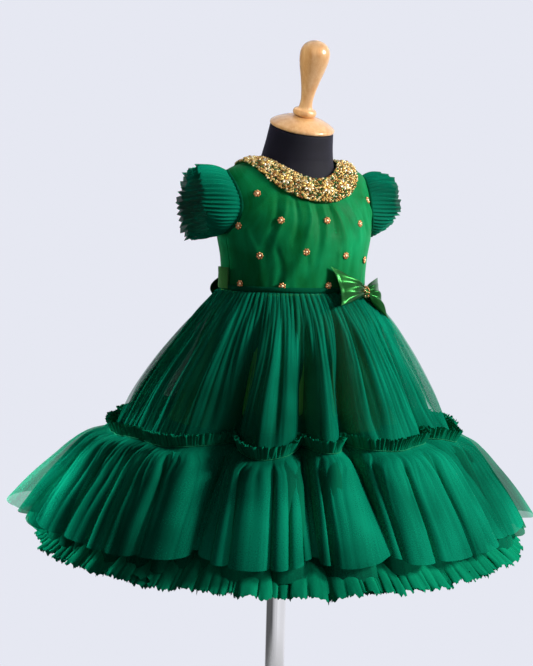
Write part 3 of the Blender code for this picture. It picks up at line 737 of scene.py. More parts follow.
def tubes(angle, edges, seed, roundness, low=0.55):
    """Rounded tubes with narrow valleys: height from 0 to 1 and sideways swell, at angles in radians."""
    heights = np.random.default_rng(seed).uniform(low, 1.0, len(edges) - 1)
    turn = np.mod(angle - edges[0], TURN) + edges[0]
    k = np.clip(np.searchsorted(edges, turn, side="right") - 1, 0, len(edges) - 2)
    width = edges[k + 1] - edges[k]
    across = np.clip((turn - edges[k]) / width, 0.0, 1.0)
    swell = -np.sin(TURN * across) * width / TURN
    return heights[k] * np.sin(math.pi * across) ** roundness, swell * heights[k]


def gathers(angle, count, uneven, seed, roundness, low=0.55):
    """Tubes of a count of unequal gathers once round."""
    return tubes(angle, even_edges(count, uneven, seed), seed, roundness, low)


def waver(angle, amount, waves, seed):
    """A small drift round a ring made of a few waves that close on themselves."""
    rng = np.random.default_rng(seed)
    total = np.zeros(np.shape(angle))
    for wave in waves:
        total = total + np.sin(wave * angle + rng.uniform(0, TURN)) * rng.uniform(0.4, 1.0)
    return total * amount / len(waves)


# Meshes and pieces

def cloth_area(points, closed):
    if closed:
        points = np.concatenate((points, points[:, :1]), axis=1)
    corner = points[1:, 1:]
    halves = (np.cross(points[1:, :-1] - points[:-1, :-1], points[:-1, 1:] - points[:-1, :-1]),
              np.cross(corner - points[:-1, 1:], corner - points[1:, :-1]))
    return float(sum(np.linalg.norm(half, axis=-1) for half in halves).sum() / 2)


def cloth_size(points, closed, shaped=False):
    """Width and length of the flat cut: a strip keeps the cloth's area, a shaped cut its widest row."""
    length = np.linalg.norm(np.diff(points, axis=0), axis=-1).sum(axis=0).mean()
    if not shaped:
        return float(cloth_area(points, closed) / length), float(length)
    if closed:
        points = np.concatenate((points, points[:, :1]), axis=1)
    return float(np.linalg.norm(np.diff(points, axis=1), axis=-1).sum(axis=1).max()), float(length)


def grid_mesh(name, points, closed):
    """A surface through rows of points, with a UV map in metres of cloth."""
    rows, columns = points.shape[:2]
    steps = columns if closed else columns - 1
    i, j = np.meshgrid(np.arange(rows - 1), np.arange(steps), indexing="ij")
    k = (j + 1) % columns
    faces = np.stack((i * columns + j, (i + 1) * columns + j, (i + 1) * columns + k, i * columns + k), -1)
    mesh = bpy.data.meshes.new(name)
    mesh.from_pydata(points.reshape(-1, 3).tolist(), [], faces.reshape(-1, 4).tolist())
    width, length = cloth_size(points, closed)
    down = np.linspace(0, length, rows)
    uv = np.empty((rows - 1, steps, 4, 2))
    for corner, (later, lower) in enumerate(((0, 0), (0, 1), (1, 1), (1, 0))):
        uv[..., corner, 0] = (j + later) * width / steps
        uv[..., corner, 1] = down[i + lower]
    mesh.uv_layers.new(name="cloth").data.foreach_set("uv", uv.ravel())
    mesh.shade_smooth()
    return mesh


def normals_of(points, closed):
    """Unit normals of a grid of points."""
    down = np.gradient(points, axis=0)
    if closed:
        across = (np.roll(points, -1, axis=1) - np.roll(points, 1, axis=1)) / 2
    else:
        across = np.gradient(points, axis=1)
    normal = np.cross(down, across)
    return normal / np.maximum(np.linalg.norm(normal, axis=-1, keepdims=True), 1e-9)


def merge_poles(mesh):
    """Makes one point of each ring that has shrunk to a point."""
    work = bmesh.new()
    work.from_mesh(mesh)
    bmesh.ops.remove_doubles(work, verts=work.verts, dist=0.00001)
    work.to_mesh(mesh)
    work.free()


def placed(points, matrix):
    return points @ np.array(matrix.to_3x3()).T + np.array(matrix.translation)


def add_piece(name, mesh, finish, replaces=()):
    mesh.materials.clear()
    mesh.materials.append(MATERIALS[finish])
    piece = add_object(name, mesh)
    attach(piece, "root")
    if replaces:
        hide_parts(*replaces)
    return piece


def add_sheet(name, points, closed, finish, replaces=(), wall=0.0):
    """A cloth piece through rows of points, its UV map laid out to the size of its flat cut."""
    piece = add_piece(name, grid_mesh(name, points, closed), finish, replaces)
    if wall:
        shell = piece.modifiers.new("wall", "SOLIDIFY")
        shell.thickness = wall
        shell.offset = -1.0


def net_layer(name, points, finish, replaces=()):
    """A gathered layer of net, closed all round."""
    add_sheet(name, points, True, finish, replaces)


# Dress form and stand

def loft_solid(name, points, finish, replaces):
    """A closed body through rings, its ends filled."""
    mesh = grid_mesh(name, points, True)
    rows, columns = points.shape[:2]
    work = bmesh.new()
    work.from_mesh(mesh)
    for row, order in ((0, 1), (rows - 1, -1)):
        work.verts.ensure_lookup_table()
        ring = [work.verts[row * columns + j] for j in range(columns)]
        centre = work.verts.new(sum((v.co for v in ring), Vector()) / columns)
        for j in range(columns):
            face = work.faces.new((ring[j], ring[(j + 1) % columns], centre)[::order])
            face.smooth = True
    work.to_mesh(mesh)
    work.free()
    add_piece(name, mesh, finish, replaces)


def make_form():
    turns = full_turn(160)
    rings = []
    for height in np.linspace(NECK_TOP, NECK_ROWS[0][0], 14):
        radius, forward, share = rows_at(NECK_ROWS, height)
        tilt = np.array(Matrix.Rotation(NECK_TILT * share, 3, "X"))
        middle = np.array((0, BODY_Y - forward, WAIST_Z + height))
        rings.append(ring_points(radius, turns, 0.0) @ tilt.T + middle)
    collar = around_neck(turns, -0.03)
    chest = body_points(turns, FORM_CHEST, -FORM_INSET)
    for share in np.linspace(0.0, 0.88, 12):
        ring = collar + (chest - collar) * share
        ring[:, 2] = WAIST_Z + shoulder_height(ring[:, 0], ring[:, 1]) - FORM_SUNK * (1 + 0.6 * share)
        rings.append(ring)
    for height in np.linspace(FORM_CHEST, FORM_BOTTOM, 30):
        rings.append(body_points(turns, height, -FORM_INSET - 0.006 * ease(-height, 0.120, -FORM_BOTTOM)))
    loft_solid("form_cover", np.array(rings), "jersey", ("form_body",))


def refined(profile, steps):
    """A profile's points with smooth ones between them."""
    points = np.asarray(profile, float)
    run = np.concatenate(([0], np.cumsum(np.linalg.norm(np.diff(points, axis=0), axis=1))))
    places = np.unique(np.concatenate((run, np.linspace(0, run[-1], steps))))
    fine = rows_at(np.column_stack((run, points)), places)
    fine[:, 1] = np.maximum(fine[:, 1], 0.0)
    return fine


def turned_piece(name, profile, matrix, finish, node, segments=96, steps=60):
    """A turned body from (height, radius) points, from the top down; its ends close on the axis."""
    height, radius = np.moveaxis(refined(profile, steps) if steps else np.asarray(profile, float), -1, 0)
    points = ring_points(radius[:, None], full_turn(segments), height[:, None])
    mesh = grid_mesh(name, placed(points, matrix), True)
    merge_poles(mesh)
    add_piece(name, mesh, finish, (node,))
    mesh.set_sharp_from_angle(angle=math.radians(50))


def make_stand():
    top = Vector((0, BODY_Y + NECK_TOP_Y, WAIST_Z + NECK_TOP))
    neck = Matrix.Translation(top) @ Matrix.Rotation(NECK_TILT, 4, "X")
    turned_piece("cap_turning", CAP_PROFILE, neck, "wood", "neck_cap")
    above = neck @ Matrix.Translation((0, 0, CAP_PROFILE[0][0]))
    turned_piece("handle_turning", HANDLE_PROFILE, above, "wood", "cap_handle")
    turned_piece("base_disc", BASE_PROFILE, Matrix(), "base steel", "stand_base", 128, 0)
    turned_piece("pole_tube", POLE_PROFILE, Matrix(), "chrome", "stand_pole", 96, 0)


# Skirt layers

PANEL_EDGES = even_edges(36, 0.35, 11)
PANEL_STANDOUT = 0.0035
INSET_TURN = math.radians(62)


def lobes(angle):
    return 0.8 * bumps(angle, SEAM_LOBES)


def broad_panels(angle):
    return tubes(angle, PANEL_EDGES, 12, 0.7)[0]


def seam_shift(angle):
    """How far the seam of the upper skirt and the flounce stands out from a plain ring."""
    return PANEL_STANDOUT * broad_panels(angle) - bumps(angle, FOLDS) + lobes(angle)


def seam_height(angle):
    """Height of the seam, lower where its lobes hang."""
    return WAIST_Z - SKIRT_DROP - lobes(angle)


def skirt_points(rows, columns, inset, folds, seed):
    """The gathered upper skirt: many fine gathers at the waist run together into broad panels."""
    t = np.linspace(0, 1, rows)[:, None] ** 1.2
    angle = full_turn(columns)[None, :]
    drop = SEAM_GAP + (SKIRT_DROP - SEAM_GAP) * t
    lean = waver(angle, 0.10, (2, 3, 5, 7), seed) * t * (1 - t)
    fine = gathers(angle + lean, 118, 0.4, seed + 1, 0.55)[0]
    middle = gathers(angle + lean * 0.6, 61, 0.45, seed + 2, 0.6, 0.2)[0]
    broad = broad_panels(angle)
    shift = (2 * fine - 0.9) * (0.0016 * (1 - ease(t, 0.10, 0.75)) + 0.0009) * ease(t, 0, 0.02)
    shift = shift + (2 * middle - 1.0) * 0.0050 * ease(t, 0.03, 0.30) * (1 - 0.6 * ease(t, 0.7, 1.0))
    shift = shift + (broad - 0.55) * 0.0150 * ease(t, 0.10, 0.50) * (1 - ease(t, 0.75, 1.0))
    shift = shift + broad * PANEL_STANDOUT * ease(t, 0.75, 1.0)
    hung = lobes(angle) * t ** 3
    shift = shift - folds * rows_at(SKIRT_ROWS, drop)[..., 4] * bumps(angle, FOLDS)
    shift = shift - inset * (1 + 0.4 * np.cos(angle - INSET_TURN)) * ease(t, 0.0, 0.5) + hung
    turned = angle + drawn_in(angle, FOLDS, 0.45) * ease(t, 0.3, 0.8) * (1 - ease(t, 0.9, 1.0))
    return hanging_points(SKIRT_ROWS, drop, turned, WAIST_Z - drop - hung, shift)


def make_upper_skirt():
    net_layer("upper_skirt_net", skirt_points(46, 1000, 0.0, 1.0, 3), "outer net", ("upper_skirt",))
    net_layer("upper_skirt_net_under", skirt_points(32, 640, 0.012, 0.92, 33), "inner net darkened as shade")


def make_lining():
    t = np.linspace(0, 1, 28)[:, None]
    angle = full_turn(400)[None, :]
    drop = LINING_ROWS[0][0] + (LINING_ROWS[-1][0] - LINING_ROWS[0][0]) * t
    soft = gathers(angle + waver(angle, 0.05, (2, 3), 5) * t, 22, 0.4, 51, 1.0, 0.3)[0]
    fine = gathers(angle, 70, 0.4, 52, 0.8)[0]
    shift = soft * 0.0050 * t + fine * 0.0010 * (1 - ease(t, 0.1, 0.5)) - 0.0030 * t
    shift = shift - 0.95 * bumps(angle, FOLDS) * ease(t, 0.75, 1.0)
    points = hanging_points(LINING_ROWS, drop, angle + 0 * t, WAIST_Z - drop, shift)
    add_sheet("lining_skirt", points, True, "lining", ("satin_lining",))


def frill_points(columns, count, seed, inset, lower):
    """A gathered net layer of the underskirt, with a raw, frilled edge."""
    t = 1 - np.linspace(1, 0, 14)[:, None] ** 1.5
    angle = full_turn(columns)[None, :]
    drop = UNDERSKIRT_TOP + (UNDERSKIRT_ROWS[-1][0] - UNDERSKIRT_TOP) * t
    radius, centre = np.moveaxis(rows_at(UNDERSKIRT_ROWS, drop), -1, 0)
    rise, sway = gathers(angle, count, 0.5, seed, 0.7, 0.4)
    small, small_sway = gathers(angle, count * 3, 0.5, seed + 1, 0.8, 0.3)
    rim = ease(t, 0.80, 1.0)
    slow = waver(angle, 1.0, (11, 19, 27, 41), seed + 5)
    crumpled = waver(angle, 1.0, (57, 83, 127, 181, 239), seed + 6)
    shift = (2 * rise - 1) * FRILL_DEPTH * (0.2 + 0.8 * t) * (0.8 + 0.5 * slow) - inset * t
    shift = shift - bumps(angle, FOLDS) * (1.05 - ease(t, 0.2, 1.0))
    shift = shift + ((2 * small - 1) * 0.0034 + 0.0048 * crumpled) * rim
    turned = angle + sway * ease(t, 0.3, 1.0) + (small_sway * 1.3 + 0.008 * np.roll(crumpled, 9)) * rim
    rng = np.random.default_rng(seed + 2)
    ragged = rng.uniform(-1, 1, columns) * 0.0022 + np.repeat(rng.uniform(-1, 1, columns // 5), 5) * 0.0020
    height = WAIST_Z - drop - (lower + 0.006 * slow + 0.004 * crumpled) * t ** 3 - (t == 1) * ragged
    return ring_points(radius + shift, turned, height + 0.25 * shift * t, centre)


def make_underskirt():
    for name, columns, count, seed, inset, lower, nodes in (
            ("underskirt_net", 2200, 62, 61, 0.0000, 0.0030, ("net_underskirt",)),
            ("underskirt_net_second", 1500, 54, 66, 0.0080, -0.0010, ()),
            ("underskirt_net_third", 1500, 48, 71, 0.0170, -0.0050, ())):
        net_layer(name, frill_points(columns, count, seed, inset, lower), "frill net", nodes)


# Flounce

def flute_edges(valleys, hidden, seed):
    """The given valleys in degrees, then hidden ones up to a full turn, in radians."""
    widths = np.random.default_rng(seed).uniform(0.5, 1.5, hidden)
    span = 360 - (valleys[-1] - valleys[0])
    rest = valleys[-1] + np.cumsum(widths) / widths.sum() * span
    return np.radians(np.concatenate((valleys, rest)))


def thread_ring(angle, clear):
    """The seam's curve moved out along its own normals, and those normals."""
    ring = ring_points(SKIRT_ROWS[-1][1] + seam_shift(angle), angle, 0.0)[:, :2]
    along = np.roll(ring, -1, axis=0) - np.roll(ring, 1, axis=0)
    normal = unit(np.stack((along[:, 1], -along[:, 0]), -1))
    return ring + normal * clear, normal


def flounce_points(rows, columns, edges, seed, clear, inset, longer, depth, swell):
    """One net layer of the flounce, from its gathering thread down to its hem."""
    t = np.linspace(0, 1, rows)[:, None] ** 1.25
    angle = full_turn(columns)
    start = thread_ring(angle, clear)[0]
    angle = angle[None, :]
    out, fold, flute = np.moveaxis(rows_at(FLOUNCE_ROWS, t), -1, 0)
    pinch = gathers(angle + waver(angle, 0.02, (5, 9), seed), 170, 0.4, seed + 1, 0.7)[0]
    sunk = bumps(angle, FOLDS)
    reach = bumps(angle, HEM_POINTS)
    lobe = SKIRT_ROWS[-1][1] + HEADING_OUT
    drift = waver(angle, 0.11, (3, 5, 8, 13), seed + 3) * t * (1 - 0.5 * t)
    rise, sway = tubes(angle + 0.4 * drift, edges, seed, 0.62, 0.62)
    small, lean = gathers(angle + drift, 96, 0.55, seed + 2, 0.7, 0.1)
    shift = flute * depth * (rise - 0.80) * (1 - 0.3 * sunk / FOLD_FULL)
    shift = shift + (small - 0.4) * 0.0062 * ease(t, 0.02, 0.15) * (1 - 0.6 * ease(t, 0.4, 0.9))
    shift = shift + pinch * 0.0024 * ease(t, 0.0, 0.04) * (1 - ease(t, 0.06, 0.45))
    radius = lobe + (FLOUNCE_HEM_RADIUS + reach - inset - lobe) * out - fold * sunk + shift
    radius = radius + lobes(angle) * (1 - t) ** 0.7
    turned = angle + sway * swell * ease(t, 0.02, 0.30) + lean * 0.5 * ease(t, 0.05, 0.3)
    turned = turned + drawn_in(angle, FOLDS, 0.62) * ease(t, 0.02, 0.15)
    drop = FLOUNCE_DROP + longer - 0.4 * reach - SKIRT_DROP - 0.22 * sunk + 0.006 * (rise - 0.5)
    top = seam_height(angle)
    height = top - (drop - (WAIST_Z - SKIRT_DROP - top)) * t + 0.18 * shift * ease(t, 0.05, 0.4)
    high = np.concatenate((start, top.reshape(-1, 1)), -1)[None]
    high = high - np.array((0, 0, 1.0)) * (drop * t)[..., None]
    share = ease(t, 0.0, 0.07)[..., None]
    return high * (1 - share) + ring_points(radius, turned, height) * share


def heading_points(columns, clear, seed, lean, height):
    """The gathered edge of the flounce that stands up above its thread."""
    angle = full_turn(columns)
    start, normal = thread_ring(angle, clear)
    ruffle = gathers(angle, 400, 0.5, seed, 0.8, 0.5)[0]
    slow = waver(angle, 1.0, (17, 29, 43, 71), seed)
    ragged = np.random.default_rng(seed).uniform(-1, 1, columns)
    tall = height * (1 + 0.20 * waver(angle, 1.0, (7, 13, 31, 83, 131), seed + 1))
    rows = []
    for t in np.linspace(1, 0, 7):
        out = (lean * t + 0.0030 * slow * t + (2 * ruffle - 0.9) * (0.0008 + 0.0030 * t))[:, None]
        rise = tall * t + 0.0016 * ragged * (t == 1)
        rows.append(np.column_stack((start + normal * out, seam_height(angle) + rise)))
    return np.array(rows)


def make_thread():
    """The gathering thread that holds the flounce's folds, as a thin closed cord."""
    angle = full_turn(1200)
    ring, normal = thread_ring(angle, FLOUNCE_CLEAR)
    height = seam_height(angle) - THREAD_SUNK
    sway = THREAD_SWAY * waver(angle, 1.0, (90, 140), 3)
    rows = []
    for bend in np.linspace(0, -TURN, 6):
        out = THREAD_OUT + THREAD_RADIUS * math.cos(bend) + sway
        rise = THREAD_RADIUS * math.sin(bend)
        rows.append(np.column_stack((ring + normal * out[:, None], height + rise)))
    mesh = grid_mesh("gathering_thread", np.array(rows), True)
    add_piece("gathering_thread", mesh, "thread")


def make_flounce():
    front = flute_edges(FRONT_VALLEYS, 24, 7)
    outer = flounce_points(42, 1320, front, 8, FLOUNCE_CLEAR, 0.0, 0.0, 1.12, 1.10)
    net_layer("flounce_net", outer, "flounce net", ("flounce",))
    middle = flounce_points(28, 920, even_edges(48, 0.45, 21), 22, FLOUNCE_CLEAR - 0.0008,
                            0.012, 0.017, 1.0, 1.1)
    net_layer("flounce_net_second", middle, "second net darkened as shade", ())
    inner = flounce_points(22, 800, even_edges(44, 0.45, 25), 26, FLOUNCE_CLEAR - 0.0014,
                           0.021, 0.026, 0.9, 1.0)
    net_layer("flounce_net_third", inner, "frill net", ())
    for name, seed, lean, height in (("flounce_heading", 41, 0.0050, HEADING * 1.05),
                                     ("flounce_heading_inner", 44, 0.0012, HEADING * 0.85)):
        points = heading_points(2640, FLOUNCE_CLEAR, seed, lean, height)
        net_layer(name, points, "heading net", ())
    make_thread()


# Bodice and waist

def panel_points(back, side, rows, columns):
    """A half panel of the bodice from its top edge down, from its centre line to its side."""
    seam = (math.pi - SIDE_SEAM if back else SIDE_SEAM) - SEAM_TURN
    u = np.linspace(0, 1, columns)
    v = np.linspace(1, 0, rows)
    turn = math.pi / 2 * np.minimum(u / NECK_SHARE, 1.0)
    top_angle, top_height = neck_edge(math.pi - turn if back else turn)
    arm_angle, arm_height = armhole_edge(np.maximum(v - SEAM_SHARE, 0) / (1 - SEAM_SHARE), back)
    if back:
        top_angle, arm_angle = math.pi - top_angle, math.pi - arm_angle
    share = np.maximum(u - NECK_SHARE, 0) / (1 - NECK_SHARE)
    high = neck_edge(np.array(math.pi / 2))[1]
    past = u >= NECK_SHARE
    top_angle = np.where(past, math.pi / 2, top_angle)
    top_height = np.where(past, high + (SHOULDER_TIP - high) * share ** 1.6, top_height)
    low = v < SEAM_SHARE
    edge_angle = np.where(low, seam, arm_angle)[:, None]
    edge_height = np.where(low, UNDERARM * v / SEAM_SHARE, arm_height)[:, None]
    u, v = u[None, :], v[:, None]
    spread = u + (top_angle[None, :] / (math.pi / 2) - u) * v ** 4
    height = top_height[None, :] * v + (edge_height - top_height[-1] * v) * u
    angle = edge_angle * spread
    return side * (math.pi - angle if back else angle), height


def crease_lift(angle, height):
    """Lift of the bodice's creases at an angle and a height above the waist."""
    lift = np.zeros(np.broadcast(angle, height).shape)
    x = angle * BODY_REACH
    for a0, h0, a1, h1, rise, width in BODICE_CREASES:
        start = np.array((math.radians(a0) * BODY_REACH, h0))
        run = np.array((math.radians(a1) * BODY_REACH, h1)) - start
        long = np.linalg.norm(run)
        s = ((x - start[0]) * run[0] + (height - start[1]) * run[1]) / long ** 2
        bow = 0.06 * long * np.sin(math.pi * np.clip(s, 0, 1))
        off = ((x - start[0]) * run[1] - (height - start[1]) * run[0]) / long + bow
        along = np.exp(-np.maximum(np.abs(s - 0.45) - 0.45, 0) ** 2 / 0.03)
        lift += 1.4 * rise * along * np.exp(-(off / (width * (0.7 + 0.6 * np.clip(s, 0, 1)))) ** 2)
    hem = np.exp(-(height / 0.018) ** 2)
    return lift + 0.0005 * np.sin(angle * 44) * hem * (0.6 + 0.4 * np.sin(angle * 9))


def add_panel(name, node, angle, height, closing=None):
    """A panel of the bodice with its creases; closing is its column at the back and that column's x."""
    points = body_points(angle, height)
    points = points + normals_of(points, False) * crease_lift(angle, height)[..., None]
    if closing:
        points[:, closing[0], 0] = closing[1]
    add_sheet(name, points, False, "bodice", (node,),
              wall=CLOTH)


def make_bodice():
    left = panel_points(False, -1, 72, 92)
    right = panel_points(False, 1, 72, 92)
    angle, height = (np.concatenate((a[:, :0:-1], b), axis=1) for a, b in zip(left, right))
    add_panel("bodice_front_panel", "bodice_front", angle, height)
    angle, height = panel_points(True, 1, 72, 70)
    add_panel("bodice_back_panel_left", "bodice_back_left", angle[:, ::-1], height[:, ::-1], (-1, 0.0004))
    add_panel("bodice_back_panel_right", "bodice_back_right", *panel_points(True, -1, 72, 70), (0, -0.0004))


def make_waist_fold():
    angle = full_turn(360)[None, :]
    share = np.linspace(0, 1, 22)[:, None]
    height, lift = np.moveaxis(rows_at(STRIP_PROFILE, share), -1, 0)
    soft = np.sin(math.pi * share)
    points = body_points(angle, height + 0.0004 * np.sin(angle * 7) * soft,
                         lift + 0.0003 * np.sin(angle * 31 + 9 * share) * soft)
    add_sheet("waist_fold", points, True, "waist net darkened as shade", ("waist_strip",))


# Sleeve ruffles

def sided(rows, side, flipped):
    """Rows of points on the wearer's left, or mirrored to the right, with their faces outwards."""
    points = np.array(rows) * (side, 1, 1)
    return points[:, ::-1] if side == flipped else points


def ruffle_points(side, rows, per_pleat, seed, shorter, lift):
    """An accordion pleated ruffle from the armhole out to its rim."""
    columns = SLEEVE_PLEATS * per_pleat
    turn = np.arange(columns) / columns * 2
    root = body_points(*armhole_ring(turn))
    outward = unit((root - root.mean(axis=0)) * (0, 1, 1))
    root = root + (RUFFLE_OUT, 0, 0)
    reach, y, height = np.moveaxis(rows_at(RIM_ROWS, turn * 180), -1, 0)
    rim = np.stack((reach, y, WAIST_Z + height), -1)
    length = np.linalg.norm(rim - root, axis=1)
    fullness = np.minimum(length / RUFFLE_LENGTH, 1.0) ** 1.6
    pleat = np.arange(columns) / per_pleat
    fold = 1 - 4 * np.abs(pleat - np.floor(pleat) - 0.5)
    rng = np.random.default_rng(seed)
    uneven = np.repeat(rng.uniform(0.75, 1.15, SLEEVE_PLEATS), per_pleat)
    trim = np.interp(np.arange(columns), np.arange(0, columns + 1, per_pleat / 2),
                     rng.uniform(-RUFFLE_TRIM, RUFFLE_TRIM, SLEEVE_PLEATS * 2 + 1))
    grid = []
    for t in np.linspace(0, 1, rows):
        depth = (0.0007 + 0.0024 * t) * fullness * uneven
        end = rim + (rim - root) * ((trim - shorter) / length)[:, None] * t
        swell = 0.0032 * math.sin(math.pi * t ** 0.9) + lift * t + fold * depth
        grid.append(root + (end - root) * t + outward * swell[:, None])
    return sided(grid, side, 1)


def piping_points(side, columns):
    """A narrow folded strip round the armhole, open towards the bodice."""
    angle, height = armhole_ring(np.linspace(0, 2, columns, endpoint=False))
    middle = body_points(angle, height, 0.0008)
    outward = unit(middle - body_points(angle, height, -0.0012))
    aside = np.cross(unit(np.roll(middle, -1, axis=0) - np.roll(middle, 1, axis=0)), outward)
    grid = [middle + PIPING_RADIUS * (math.cos(bend) * outward + math.sin(bend) * aside)
            for bend in np.radians(np.linspace(-150, 150, 11))]
    return sided(grid, side, -1)


def make_sleeves():
    for name, side in (("sleeve_ruffle_left", 1), ("sleeve_ruffle_right", -1)):
        outer = ruffle_points(side, 26, 10, 81, 0.0, 0.0)
        net_layer(name + "_net", outer, "sleeve net", (name,))
        inner = ruffle_points(side, 16, 8, 91, 0.004, -0.0030)
        net_layer(name + "_net_inner", inner, "sleeve net", ())
        add_sheet(name + "_piping", piping_points(side, 160), True, "waist net darkened as shade")


# Bows and sash

def bow_matrix(bow):
    """Local x runs along the bow, local z up it and local -y away from the body."""
    angle = math.radians(bow["angle"])
    before, middle, after = body_points(np.array((angle - 0.01, angle, angle + 0.01)), bow["height"])
    along = after - before
    outward = Vector((along[1], -along[0], 0)).normalized()
    matrix = Matrix.Translation(Vector(middle) + outward * bow["out"])
    for turn, axis in ((math.atan2(outward.x, -outward.y), "Z"), (math.radians(-bow["lean"]), "X"),
                       (math.radians(bow["turn"]), "Y")):
        matrix = matrix @ Matrix.Rotation(turn, 4, axis)
    return matrix


def wing_points(bow, side, longer, taller):
    """A puffed loop of satin: rings round the wing, from the knot out to its folded end."""
    t = np.concatenate((np.linspace(0, 0.96, 40), np.array((0.975, 0.988, 0.996, 1.0))))[:, None]
    turn = full_turn(96)[None, :]
    v = np.cos(turn)
    face = np.sin(turn)
    length, half = bow["length"], bow["half"]
    x = WING_START + (longer * length - WING_START) * t + bow["corners"] * length * t * v * v
    puff = 0.26 * half * np.sin(math.pi * np.minimum(t * 1.12, 1.0)) ** 0.8
    puff = puff * (1 - 0.35 * t) + 0.0010
    end = np.sqrt(np.clip((1 - t) / 0.04, 0, 1))
    thick = puff * np.abs(face) ** 0.75 * np.sign(face) * np.minimum(end + 0.05, 1.0)
    creases = 0.10 * half * (1 - t) ** 0.7 * np.cos(3.1 * math.pi * v + 0.5) * ease(t, 0.0, 0.15)
    creases = creases + 0.05 * half * np.sin(4 * v + 5 * t) * t * (1 - t) * 2
    y = 0.10 * length * t * t - thick - creases * (0.4 + 0.6 * (face > 0))
    z = half * (0.26 + (taller - 0.26) * t ** 0.8) * v - bow["droop"] * t
    points = np.stack(np.broadcast_arrays(side * x, y, z), -1)
    return placed(points[:, ::-1] if side > 0 else points, bow_matrix(bow))


def knot_mesh(name, bow, half_width, half_height, front, seat, pleats):
    """A satin knot from its front face back to what the bow is sewn to, as rings from its top down."""
    lean = math.radians(bow["lean"])
    back = (bow["out"] - seat) * math.cos(lean)
    down = np.linspace(0, math.pi, 33)[:, None]
    turn = full_turn(48)[None, :]
    x, y, z = np.broadcast_arrays(np.sin(down) * np.cos(turn), np.sin(down) * np.sin(turn), np.cos(down))
    y = y * (front + back) / 2 * (1 + 0.05 * np.cos(pleats * math.pi * x)) + (back - front) / 2
    z = z * half_height
    z = np.where(y > 0, z * (1 - 0.35 * y / back) + y * math.tan(lean), z)
    return grid_mesh(name, placed(np.stack((x * half_width, y, z), -1), bow_matrix(bow)), True)


def make_bows():
    for name, bow, knot, side, longer, taller in WINGS:
        add_sheet(name + "_satin", wing_points(bow, side, longer, taller), True, "bow satin",
                  (name,))
    for name, node, bow, sizes in (("front_knot_satin", "front_bow_knot", FRONT_BOW, FRONT_KNOT),
                                   ("back_knot_satin", "back_bow_knot", BACK_BOW, BACK_KNOT)):
        mesh = knot_mesh(name, bow, *sizes)
        merge_poles(mesh)
        add_piece(name, mesh, "bow satin", (node,))


def make_sash():
    for name, side in (("sash_left", 1), ("sash_right", -1)):
        t = np.linspace(0, 1, 90)[None, :]
        v = np.linspace(1, -1, 22)[:, None]
        angle = SIDE_SEAM - 0.01 + (SASH_END - SIDE_SEAM) * t
        lift = 0.0034 + 0.0005 * np.sin(5 * v + 3 * t) * ease(t, 0.1, 0.9) + 0.0004 * np.cos(9 * v) * t
        points = body_points(side * angle + 0 * v, 0.0150 + (0.0135 - 0.0060 * t * t) * v, lift)
        add_sheet(name + "_satin", points[:, ::side], False, "sash satin", (name,),
                  wall=0.0010)
    for name, side in (("sash_tail_left", 1), ("sash_tail_right", -1)):
        t = np.linspace(0, 1, 60)[:, None]
        v = np.linspace(-1, 1, 22)[None, :]
        drop = TAIL_ROWS[0][0] + (TAIL_ROWS[-1][0] - TAIL_ROWS[0][0]) * t
        place, half = np.moveaxis(rows_at(TAIL_ROWS, drop), -1, 0)
        drop = drop + TAIL_SLANT * v * side * ease(t, 0.82, 1.0)
        angle = math.pi + np.radians(-side * place + v * half)
        reach = TAIL_CLEAR + 0.002 * (1 - v * v) + 0.0014 * np.sin(3.5 * v + 2.2) * ease(t, 0.1, 0.8)
        points = hanging_points(SKIRT_ROWS, drop, angle, WAIST_Z - drop, reach)
        add_sheet(name + "_satin", points, False, "bow satin", (name,),
                  wall=0.0008)


# Beads, set out by Geometry Nodes

def bead_tree(name, inputs):
    """An empty Geometry Nodes tree with named inputs: (tree, its inputs' sockets, its output node)."""
    tree = bpy.data.node_groups.new(name, "GeometryNodeTree")
    tree.interface.new_socket("Places", in_out="INPUT", socket_type="NodeSocketGeometry")
    for label, kind in inputs.items():
        tree.interface.new_socket(label, in_out="INPUT", socket_type="NodeSocket" + kind)
    tree.interface.new_socket("Beads", in_out="OUTPUT", socket_type="NodeSocketGeometry")
    return tree, tree.nodes.new("NodeGroupInput").outputs, tree.nodes.new("NodeGroupOutput")


def random_between(tree, low, high, seed):
    return add_node(tree, "FunctionNodeRandomValue", {2: low, 3: high, "Seed": seed},
                    data_type="FLOAT").outputs[1]


def bead(tree, radius, detail):
    return add_node(tree, "GeometryNodeMeshIcoSphere",
                    {"Radius": radius, "Subdivisions": detail}).outputs["Mesh"]


def sewn(tree, points, item, rotation, scale=(1, 1, 1)):
    return add_node(tree, "GeometryNodeInstanceOnPoints", {"Points": points, "Instance": item,
                                                           "Rotation": rotation, "Scale": scale}).outputs[0]


def facing_along(tree, vector, axis):
    return add_node(tree, "FunctionNodeAlignRotationToVector", {"Vector": vector}, axis=axis).outputs[0]


def with_tone(tree, instances, tone):
    return add_node(tree, "GeometryNodeStoreNamedAttribute",
                    {"Geometry": instances, "Name": "tone", "Value": tone},
                    data_type="FLOAT", domain="INSTANCE").outputs[0]


def finish_beads(tree, geometry, finish, output):
    """Realizes the instances, smooths them and gives them their material."""
    real = add_node(tree, "GeometryNodeRealizeInstances", {"Geometry": geometry})
    smooth = add_node(tree, "GeometryNodeSetShadeSmooth", {0: real.outputs[0]})
    covered = add_node(tree, "GeometryNodeSetMaterial", {"Geometry": smooth.outputs[0],
                                                         "Material": MATERIALS[finish]})
    tree.links.new(covered.outputs[0], output.inputs[0])


